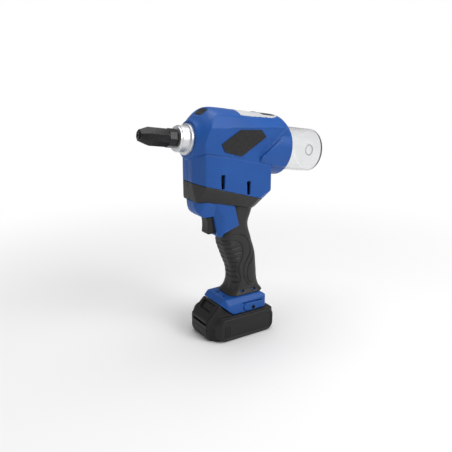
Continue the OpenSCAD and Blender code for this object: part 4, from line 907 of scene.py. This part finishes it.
def group(name, inputs, outputs, build):
    """A shader node group; build adds its nodes between the group's sockets."""
    tree = bpy.data.node_groups.get(name)
    if tree:
        return tree
    tree = bpy.data.node_groups.new(name, "ShaderNodeTree")
    for label, kind, default in inputs:
        socket = tree.interface.new_socket(label, in_out="INPUT", socket_type=kind)
        socket.default_value = default
    for label, kind in outputs:
        tree.interface.new_socket(label, in_out="OUTPUT", socket_type=kind)
    build(tree, tree.nodes.new("NodeGroupInput"), tree.nodes.new("NodeGroupOutput"))
    return tree


def node(tree, kind, links=(), **settings):
    """A shader node with settings, its inputs set or linked."""
    made = tree.nodes.new(kind)
    for key, value in settings.items():
        setattr(made, key, value)
    for socket, value in links:
        if isinstance(value, bpy.types.NodeSocket):
            tree.links.new(value, made.inputs[socket])
        else:
            made.inputs[socket].default_value = value
    return made


def product(tree, a, b):
    """Product of two sockets or values."""
    return node(tree, "ShaderNodeMath", [(0, a), (1, b)], operation="MULTIPLY").outputs[0]


def run(tree, value, low, high, start=0.0, stop=1.0):
    """A value that runs from start to stop between two limits of another."""
    links = [(0, value), (1, low), (2, high), (3, start), (4, stop)]
    return node(tree, "ShaderNodeMapRange", links).outputs[0]


def blend(tree, mask, under, over):
    """Two colours mixed by a mask."""
    return node(tree, "ShaderNodeMix", [(0, mask), (6, under), (7, over)], data_type="RGBA").outputs[2]


def build_grain(tree, given, out):
    """Moulded surface: fine grain as a height, and a broad unevenness."""
    place = node(tree, "ShaderNodeTexCoord").outputs["Object"]
    links = [("Vector", place), ("Scale", given.outputs["Scale"])]
    fine = node(tree, "ShaderNodeTexNoise", links + [("Detail", 3.0)])
    dots = node(tree, "ShaderNodeTexVoronoi", links)
    links = [(0, fine.outputs["Fac"]), (1, dots.outputs["Distance"])]
    both = node(tree, "ShaderNodeMath", links, operation="ADD")
    broad = node(tree, "ShaderNodeTexNoise", [("Vector", place), ("Scale", 38.0), ("Detail", 4.0)])
    tree.links.new(both.outputs[0], out.inputs["Height"])
    tree.links.new(broad.outputs["Fac"], out.inputs["Broad"])


def build_wear(tree, given, out):
    """Mask of rubbed edges: convex curvature broken up by noise."""
    place = node(tree, "ShaderNodeTexCoord").outputs["Object"]
    shape = node(tree, "ShaderNodeNewGeometry").outputs["Pointiness"]
    noise = node(tree, "ShaderNodeTexNoise", [("Vector", place), ("Scale", 260.0), ("Detail", 5.0)])
    mask = product(tree, run(tree, shape, 0.515, 0.57), run(tree, noise.outputs["Fac"], 0.42, 0.66))
    tree.links.new(product(tree, mask, given.outputs["Amount"]), out.inputs["Mask"])


def build_turned(tree, given, out):
    """Fine rings of a lathe along the barrel, as a value around one half."""
    place = node(tree, "ShaderNodeTexCoord").outputs["Object"]
    links = [(0, place), (1, (BACK_X, 0, BACK_Z))]
    along = node(tree, "ShaderNodeVectorMath", links, operation="DOT_PRODUCT")
    links = [("W", along.outputs["Value"]), ("Scale", given.outputs["Scale"])]
    rings = node(tree, "ShaderNodeTexNoise", links, noise_dimensions="1D")
    smear = node(tree, "ShaderNodeTexNoise", [("Vector", place), ("Scale", 90.0), ("Detail", 3.0)])
    both = node(tree, "ShaderNodeMix", [(0, 0.35), (2, rings.outputs["Fac"]), (3, smear.outputs["Fac"])])
    tree.links.new(both.outputs[0], out.inputs["Value"])


def bottle_shade_and_gate_mark(tree):
    """Mask of the bottle's dark rear edge, painted shade as seen from outside, and of the gate mark in its end.
    """
    place = node(tree, "ShaderNodeTexCoord").outputs["Object"]
    links = [(0, place), (1, tuple(TIP * MM))]
    from_tip = node(tree, "ShaderNodeVectorMath", links, operation="SUBTRACT").outputs["Vector"]
    links = [(0, from_tip), (1, (BACK_X, 0, BACK_Z))]
    along = node(tree, "ShaderNodeVectorMath", links, operation="DOT_PRODUCT").outputs["Value"]
    aside = node(tree, "ShaderNodeVectorMath", links, operation="CROSS_PRODUCT").outputs["Vector"]
    radius = node(tree, "ShaderNodeVectorMath", [(0, aside)], operation="LENGTH").outputs["Value"]
    middles = (along, BOTTLE_END - BOTTLE_CORNER), (radius, BOTTLE_R - BOTTLE_CORNER), (radius, GATE_R)
    offsets = [
        node(tree, "ShaderNodeMath", [(0, value), (1, middle * MM)], operation="SUBTRACT").outputs[0]
        for value, middle in middles
    ]
    pair = node(tree, "ShaderNodeCombineXYZ", list(enumerate(offsets[:2]))).outputs[0]
    away = node(tree, "ShaderNodeVectorMath", [(0, pair)], operation="LENGTH").outputs["Value"]
    beside = node(tree, "ShaderNodeMath", [(0, offsets[2])], operation="ABSOLUTE").outputs[0]
    behind = node(tree, "ShaderNodeNewGeometry").outputs["Backfacing"]
    # Painted shade on the rear edge: front faces only, near the end, on the outer skin of its rounded corner
    edge = node(tree, "ShaderNodeMath", [(0, 1.0), (1, behind)], operation="SUBTRACT").outputs[0]
    station, reach = BOTTLE_SHADE_EDGE
    for value, low, high in ((along, station, station + 1), (radius, reach, reach + 1), (away, *BOTTLE_SHADE_SKIN)):
        edge = product(tree, edge, run(tree, value, low * MM, high * MM))
    near = run(tree, beside, 0.6 * MM, 1.2 * MM, 0.75, 0.0)
    gate = product(tree, near, run(tree, along, GATE_S[0] * MM, GATE_S[1] * MM))
    return node(tree, "ShaderNodeMath", [(0, edge), (1, gate)], operation="MAXIMUM").outputs[0]


def material(
    name, colour, rough, metal=0.0, grain=0.0, grain_scale=1400.0, wear=0.0, turned=0.0, shine=0.5, clear=False
):
    """A procedural material: base colour with soft unevenness, edge wear, grain or turned rings; clear plastic
    also gets painted shade at grazing angles and on its rear edge.
    """
    made = bpy.data.materials.get(name)
    if made:
        return made
    made = bpy.data.materials.new(name)
    made.use_nodes = True
    tree = made.node_tree
    bsdf = tree.nodes["Principled BSDF"]
    bsdf.inputs["Metallic"].default_value = metal
    bsdf.inputs["Specular IOR Level"].default_value = shine
    value = "NodeSocketFloat"
    grain_group = group(
        "Moulded grain", [("Scale", value, 1400.0)], [("Height", value), ("Broad", value)], build_grain
    )
    wear_group = group("Edge wear", [("Amount", value, 0.5)], [("Mask", value)], build_wear)
    turned_group = group("Turned rings", [("Scale", value, 1500.0)], [("Value", value)], build_turned)
    skin_node = node(tree, "ShaderNodeGroup", [], node_tree=grain_group)
    skin_node.inputs["Scale"].default_value = grain_scale
    uneven = skin_node.outputs["Broad"]
    if turned:
        uneven = node(tree, "ShaderNodeGroup", [], node_tree=turned_group).outputs["Value"]
    dark = tuple(c * 0.86 for c in colour) + (1.0,)
    light = tuple(min(1.0, c * 1.12 + 0.002) for c in colour) + (1.0,)
    rubbed = tuple(min(1.0, c * 1.5 + 0.05) for c in colour) + (1.0,)
    mask = node(tree, "ShaderNodeGroup", [("Amount", wear)], node_tree=wear_group).outputs["Mask"]
    tone = blend(tree, mask, blend(tree, uneven, dark, light), rubbed)
    if clear:
        bsdf.inputs["Transmission Weight"].default_value = 1.0
        bsdf.inputs["IOR"].default_value = 1.4
        # Painted shade: clear plastic turns grey where its surface is seen at a grazing angle
        painted_grazing_shade = node(tree, "ShaderNodeLayerWeight", [("Blend", 0.16)]).outputs["Facing"]
        tone = blend(tree, painted_grazing_shade, tone, (0.6, 0.61, 0.63, 1.0))
        # The bottle's rear edge, as painted shade, and the gate mark ring are coloured near black
        tone = blend(tree, bottle_shade_and_gate_mark(tree), tone, (0.02, 0.02, 0.022, 1.0))
    tree.links.new(tone, bsdf.inputs["Base Color"])
    spread = turned or 0.07
    sheen = run(tree, uneven, 0.3, 0.7, max(rough - spread, 0.02), rough + spread)
    tree.links.new(sheen, bsdf.inputs["Roughness"])
    if grain:
        links = [("Height", skin_node.outputs["Height"]), ("Strength", grain), ("Distance", 0.0002)]
        tree.links.new(node(tree, "ShaderNodeBump", links).outputs["Normal"], bsdf.inputs["Normal"])
    return made


def floor_material():
    """Pale floor that fades into the white background away from the tool."""
    made = bpy.data.materials.new("Pale floor")
    made.use_nodes = True
    tree = made.node_tree
    bsdf = tree.nodes["Principled BSDF"]
    bsdf.inputs["Roughness"].default_value = 0.7
    place = node(tree, "ShaderNodeTexCoord").outputs["Object"]
    cloud = node(tree, "ShaderNodeTexNoise", [("Vector", place), ("Scale", 3.0)]).outputs["Fac"]
    pale = blend(tree, cloud, (0.84, 0.84, 0.84, 1), (0.86, 0.86, 0.86, 1))
    tree.links.new(pale, bsdf.inputs["Base Color"])
    reach = node(tree, "ShaderNodeVectorMath", [(0, place)], operation="LENGTH").outputs["Value"]
    links = [(0, reach), (1, 0.12), (2, 0.85), (3, 0.0), (4, 1.0)]
    far = node(tree, "ShaderNodeMapRange", links, interpolation_type="SMOOTHSTEP")
    white = node(tree, "ShaderNodeEmission", [("Color", (1, 1, 1, 1)), ("Strength", 1.0)])
    both = node(tree, "ShaderNodeMixShader", [(0, far.outputs[0]), (1, bsdf.outputs[0]), (2, white.outputs[0])])
    tree.links.new(both.outputs[0], tree.nodes["Material Output"].inputs["Surface"])
    return made


def colours():
    """The scene's colour settings of the tool."""
    return bpy.context.scene.rivet_colours


def sizes():
    """The scene's mesh settings of the tool."""
    return bpy.context.scene.rivet_sizes


# Finish of each slot of the record: name, colour or colour setting, roughness and what else it has
FINISHES = {
    "blue_plastic": ("Blue plastic", "shell", 0.42, {"grain": 0.1, "wear": 0.2, "shine": 0.27}),
    "soft_grip": ("Soft grip", "grip", 0.48, {"grain": 0.16, "grain_scale": 2400, "wear": 0.2, "shine": 0.4}),
    "dark_plastic": (
        "Dark plastic", "dark", 0.44, {"grain": 0.16, "grain_scale": 1700, "wear": 0.3, "shine": 0.27},
    ),
    "badge_face": ("Badge face", "badge", 0.4, {"grain": 0.05, "wear": 0.2, "shine": 0.27}),
    "panel_white": ("Panel foil", "panel", 0.38, {"grain": 0.06, "wear": 0.15}),
    "display_glass": ("Dark glass", (0.012, 0.012, 0.013), 0.42, {"shine": 0.27}),
    "button_grey": ("Button", (0.25, 0.26, 0.28), 0.5, {"grain": 0.15, "wear": 0.2}),
    "dark_steel": (
        "Blackened steel", (0.01, 0.01, 0.011), 0.28, {"metal": 0.35, "turned": 0.03, "wear": 0.2, "shine": 0.34},
    ),
    "bright_aluminium": ("Turned aluminium", "aluminium", 0.44, {"metal": 1.0, "turned": 0.05, "wear": 0.1}),
    "bright_steel": ("Ground steel", (0.52, 0.52, 0.54), 0.3, {"metal": 1.0, "turned": 0.12, "wear": 0.4}),
    "clear_plastic": ("Clear plastic", (0.96, 0.97, 0.975), 0.1, {"clear": True}),
    "seal_rubber": ("Seal rubber", (0.02, 0.02, 0.021), 0.7, {"grain": 0.2}),
    "board_green": ("Board", (0.02, 0.16, 0.06), 0.45, {"grain": 0.12, "grain_scale": 500}),
    "cell_wrap": ("Cell wrap", (0.05, 0.28, 0.2), 0.35, {"grain": 0.05}),
}


def slot_material(slot):
    """The finish of a record's material slot."""
    name, colour, rough, more = FINISHES[slot]
    if isinstance(colour, str):
        colour = tuple(getattr(colours(), colour))
    return material(name, colour, rough, **more)


SLOTS = {p["node"]: p["material_slot"] for p in frame["record"]["subparts"]}
SHARP_TURN = math.radians(30)
WELD_GAP = 0.00001
BODIES = {n: body for body, nodes in frame["record"]["behaviour"]["bodies"].items() for n in nodes}


def stand_for(piece, *nodes):
    """The piece takes the place, body, slot and finish of CAD nodes."""
    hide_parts(*nodes)
    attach(piece, BODIES[nodes[0]])
    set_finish(piece, SLOTS[nodes[0]])
    piece.data.materials.clear()
    piece.data.materials.append(slot_material(SLOTS[nodes[0]]))
    return piece


def dress(name, edge):
    """A CAD node gets welded seams, bevelled edges and its finish."""
    piece = frame["nodes"][name]
    weld = piece.modifiers.new("Weld", "WELD")
    weld.merge_threshold = WELD_GAP
    if edge:
        bevel = piece.modifiers.new("Edges", "BEVEL")
        bevel.width = edge * MM
        bevel.segments = 2
        bevel.limit_method = "ANGLE"
        bevel.angle_limit = SHARP_TURN
        bevel.harden_normals = True
    piece.modifiers.new("Weigh", "WEIGHTED_NORMAL").keep_sharp = True
    piece.data.shade_smooth()
    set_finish(piece, SLOTS[name])
    piece.data.materials.clear()
    piece.data.materials.append(slot_material(SLOTS[name]))


class RIVET_PG_sizes(bpy.types.PropertyGroup):
    """Mesh settings of the moulded pieces."""

    shell_step: bpy.props.FloatProperty(
        name="Shell step",
        description="Sampling step of the shells",
        default=0.001,
        min=0.0005,
        max=0.004,
        unit="LENGTH",
    )
    detail_step: bpy.props.FloatProperty(
        name="Detail step",
        description="Sampling step of small pieces",
        default=0.0007,
        min=0.0003,
        max=0.003,
        unit="LENGTH",
    )
    metal_edge: bpy.props.FloatProperty(
        name="Metal edge",
        description="Bevel of metal edges",
        default=0.0004,
        min=0.0,
        max=0.002,
        unit="LENGTH",
    )


class RIVET_PG_colours(bpy.types.PropertyGroup):
    """Colours of the tool's finishes."""

    shell: bpy.props.FloatVectorProperty(
        name="Shell",
        description="Blue of the hard shells",
        subtype="COLOR",
        default=(0.008, 0.073, 0.3),
        min=0,
        max=1,
    )
    grip: bpy.props.FloatVectorProperty(
        name="Grip",
        description="Dark of the soft grip",
        subtype="COLOR",
        default=(0.0135, 0.013, 0.0128),
        min=0,
        max=1,
    )
    dark: bpy.props.FloatVectorProperty(
        name="Dark plastic",
        description="Battery and trigger",
        subtype="COLOR",
        default=(0.0125, 0.012, 0.012),
        min=0,
        max=1,
    )
    badge: bpy.props.FloatVectorProperty(
        name="Badge",
        description="Bare badge insert",
        subtype="COLOR",
        default=(0.011, 0.0105, 0.0105),
        min=0,
        max=1,
    )
    panel: bpy.props.FloatVectorProperty(
        name="Panel",
        description="Control panel foil",
        subtype="COLOR",
        default=(0.5, 0.51, 0.525),
        min=0,
        max=1,
    )
    aluminium: bpy.props.FloatVectorProperty(
        name="Aluminium",
        description="Collar and frame",
        subtype="COLOR",
        default=(0.68, 0.69, 0.7),
        min=0,
        max=1,
    )


class RIVET_OT_housing(bpy.types.Operator):
    """Builds the two blue shell halves"""

    bl_idname = "rivet.housing"
    bl_label = "Shell halves"

    def execute(self, context):
        step = sizes().shell_step / MM
        for side, name in ((-1, "housing_left"), (1, "housing_right")):
            piece = skin("shell_" + name[8:], lambda x, y, z, k=side: housing(x, y, z, k), [name], step)
            stand_for(piece, name)
        return {"FINISHED"}


class RIVET_OT_grips(bpy.types.Operator):
    """Builds the two halves of the soft grip"""

    bl_idname = "rivet.grips"
    bl_label = "Soft grip"

    def execute(self, context):
        step = sizes().shell_step / MM
        for side, name in ((-1, "grip_left"), (1, "grip_right")):
            piece = skin("soft_" + name, lambda x, y, z, k=side: soft_grip(x, y, z, k), [name], step)
            stand_for(piece, name)
        return {"FINISHED"}


class RIVET_OT_trigger(bpy.types.Operator):
    """Builds the trigger"""

    bl_idname = "rivet.trigger"
    bl_label = "Trigger"

    def execute(self, context):
        stand_for(skin("finger_trigger", trigger_shape, ["trigger"], sizes().detail_step / MM), "trigger")
        return {"FINISHED"}


class RIVET_OT_battery(bpy.types.Operator):
    """Builds the battery's cases, side pads and release button"""

    bl_idname = "rivet.battery"
    bl_label = "Battery pack"

    def execute(self, context):
        step = sizes().shell_step / MM
        fine = sizes().detail_step / MM
        stand_for(skin("pack_upper", pack_upper, ["battery_upper_case"], step), "battery_upper_case")
        both = ["battery_lower_case", "battery_upper_case"]
        stand_for(skin("pack_lower", pack_lower, both, step), "battery_lower_case")
        stand_for(skin("pack_latch", latch_shape, ["battery_latch"], fine), "battery_latch")

        def pads(x, y, z):
            return either(pack_pad(x, y, z, -1), pack_pad(x, y, z, 1))

        stand_for(skin("pack_pads", pads, ["battery_pads"], fine), "battery_pads")
        for name in ("battery_cells", "battery_board"):
            dress(name, 0.3)
        return {"FINISHED"}


class RIVET_OT_bottle(bpy.types.Operator):
    """Builds the clear collector bottle"""

    bl_idname = "rivet.bottle"
    bl_label = "Collector bottle"

    def execute(self, context):
        mouth, end, radius, corner = BOTTLE_MOUTH, BOTTLE_END, BOTTLE_R, BOTTLE_CORNER
        inner_end, inner_radius, inner_corner = end - BOTTLE_WALL, radius - BOTTLE_WALL, corner - BOTTLE_WALL
        bends = [(math.sin(a), math.cos(a)) for a in (math.radians(d) for d in range(0, 91, 9))]
        outer = [(mouth, radius - 0.3), (mouth + 0.3, radius), (mouth + 30, radius)]
        outer += [(end - corner + corner * sin, radius - corner + corner * cos) for sin, cos in bends]
        outer += [(end, 12), (end, 8.6), (end - 0.8, 8.1), (end - 0.8, 6.9), (end, 6.4), (end, 0.02)]
        inner = [(inner_end, 0.02), (inner_end, 12)]
        inner += [(end - corner + inner_corner * cos, radius - corner + inner_corner * sin) for sin, cos in bends]
        inner += [(mouth + 30, inner_radius), (mouth, inner_radius)]
        stand_for(lathe("clear_bottle", list(reversed(outer + inner)), 144), "collector_bottle")
        return {"FINISHED"}


class RIVET_OT_nose(bpy.types.Operator):
    """Dresses the nose, lock nut and collar"""

    bl_idname = "rivet.nose"
    bl_label = "Nose and collar"

    def execute(self, context):
        edge = sizes().metal_edge / MM
        for name in ("nosepiece", "nose_housing", "lock_nut", "front_collar"):
            dress(name, edge)
        return {"FINISHED"}


class RIVET_OT_trim(bpy.types.Operator):
    """Dresses the badges, control panel, display, button, light, screws, hook inserts and bottle socket"""

    bl_idname = "rivet.trim"
    bl_label = "Trim"

    def execute(self, context):
        for name in ("badge_left", "badge_right", "control_panel", "mode_button"):
            dress(name, 0.25)
        stand_for(skin("light_window", lens_shape, ["work_light_lens"], 0.4), "work_light_lens")
        both = ["display_window", "control_panel"]
        stand_for(skin("panel_display", display_shape, both, 0.4), "display_window")
        for name in ("housing_screws", "hook_inserts", "bottle_socket", "bottle_seal"):
            dress(name, 0.2)
        return {"FINISHED"}


class RIVET_OT_works(bpy.types.Operator):
    """Dresses the works inside: pulling head, gears, motor and wiring"""

    bl_idname = "rivet.works"
    bl_label = "Works inside"

    def execute(self, context):
        for name, piece in frame["nodes"].items():
            if not piece.hide_render and "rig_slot" not in piece:
                dress(name, 0.15)
        return {"FINISHED"}


class RIVET_OT_stage(bpy.types.Operator):
    """Builds the floor, lamps, background and camera"""

    bl_idname = "rivet.stage"
    bl_label = "Stage"

    def execute(self, context):
        scene = context.scene
        reach = 6.0
        mesh = bpy.data.meshes.new("Floor")
        corners = [(-reach, -reach, 0), (reach, -reach, 0), (reach, reach, 0), (-reach, reach, 0)]
        mesh.from_pydata(corners, [], [(0, 1, 2, 3)])
        floor = bpy.data.objects.new("Floor", mesh)
        scene.collection.objects.link(floor)
        mesh.materials.append(floor_material())
        world = bpy.data.worlds.new("Studio")
        world.use_nodes = True
        tree = world.node_tree
        path = node(tree, "ShaderNodeLightPath").outputs
        links = [(0, path["Is Camera Ray"]), (1, path["Is Transmission Ray"])]
        seen = node(tree, "ShaderNodeMath", links, operation="MAXIMUM").outputs[0]
        level = node(tree, "ShaderNodeMix", [(0, seen), (2, 0.34), (3, 1.0)])
        back = tree.nodes["Background"]
        back.inputs["Color"].default_value = (1, 1, 1, 1)
        tree.links.new(level.outputs[0], back.inputs["Strength"])
        scene.world = world
        lamps = [
            ("Key", (0.6, -1.1, 1.0), 0.9, 14.0),
            ("Fill", (-1.2, -0.2, 0.5), 0.8, 1.4),
            ("Top", (0.1, 0.1, 1.4), 1.0, 11.0),
        ]
        target = Vector((0, 0, 0.2))
        for name, place, size, power in lamps:
            lamp = bpy.data.lights.new(name, "AREA")
            lamp.size = size
            lamp.energy = power
            holder = bpy.data.objects.new(name, lamp)
            holder.location = place
            holder.rotation_euler = (target - Vector(place)).to_track_quat("-Z", "Y").to_euler()
            scene.collection.objects.link(holder)
        camera = bpy.data.cameras.new("Camera")
        camera.lens = 46.2
        camera.sensor_width = 36
        holder = bpy.data.objects.new("Camera", camera)
        holder.location = (-0.44079, -0.66528, 0.402)
        holder.rotation_euler = (math.radians(90 - 16.95), 0, math.radians(-32.8))
        scene.collection.objects.link(holder)
        scene.camera = holder
        scene.view_settings.view_transform = "Standard"
        return {"FINISHED"}


class RIVET_PT_panel(bpy.types.Panel):
    """Settings and building steps of the rivet tool"""

    bl_idname = "RIVET_PT_panel"
    bl_label = "Rivet tool"
    bl_space_type = "VIEW_3D"
    bl_region_type = "UI"
    bl_category = "Rivet tool"

    def draw(self, context):
        layout = self.layout
        for settings in (context.scene.rivet_sizes, context.scene.rivet_colours):
            for key in settings.__annotations__:
                layout.prop(settings, key)
        for step in STEPS:
            layout.operator(step.bl_idname)


STEPS = (
    RIVET_OT_housing,
    RIVET_OT_grips,
    RIVET_OT_trigger,
    RIVET_OT_battery,
    RIVET_OT_bottle,
    RIVET_OT_nose,
    RIVET_OT_trim,
    RIVET_OT_works,
    RIVET_OT_stage,
)
CLASSES = (RIVET_PG_sizes, RIVET_PG_colours) + STEPS + (RIVET_PT_panel,)


def register():
    """Registers the classes and the scene's settings."""
    for cls in CLASSES:
        bpy.utils.register_class(cls)
    bpy.types.Scene.rivet_sizes = bpy.props.PointerProperty(type=RIVET_PG_sizes)
    bpy.types.Scene.rivet_colours = bpy.props.PointerProperty(type=RIVET_PG_colours)


def unregister():
    """Takes the classes and settings away again."""
    del bpy.types.Scene.rivet_colours
    del bpy.types.Scene.rivet_sizes
    for cls in reversed(CLASSES):
        bpy.utils.unregister_class(cls)


def main():
    """Builds every piece and the stage."""
    register()
    bpy.ops.rivet.housing()
    bpy.ops.rivet.grips()
    bpy.ops.rivet.trigger()
    bpy.ops.rivet.battery()
    bpy.ops.rivet.bottle()
    bpy.ops.rivet.nose()
    bpy.ops.rivet.trim()
    bpy.ops.rivet.works()
    bpy.ops.rivet.stage()


if __name__ == "__main__":
    main()
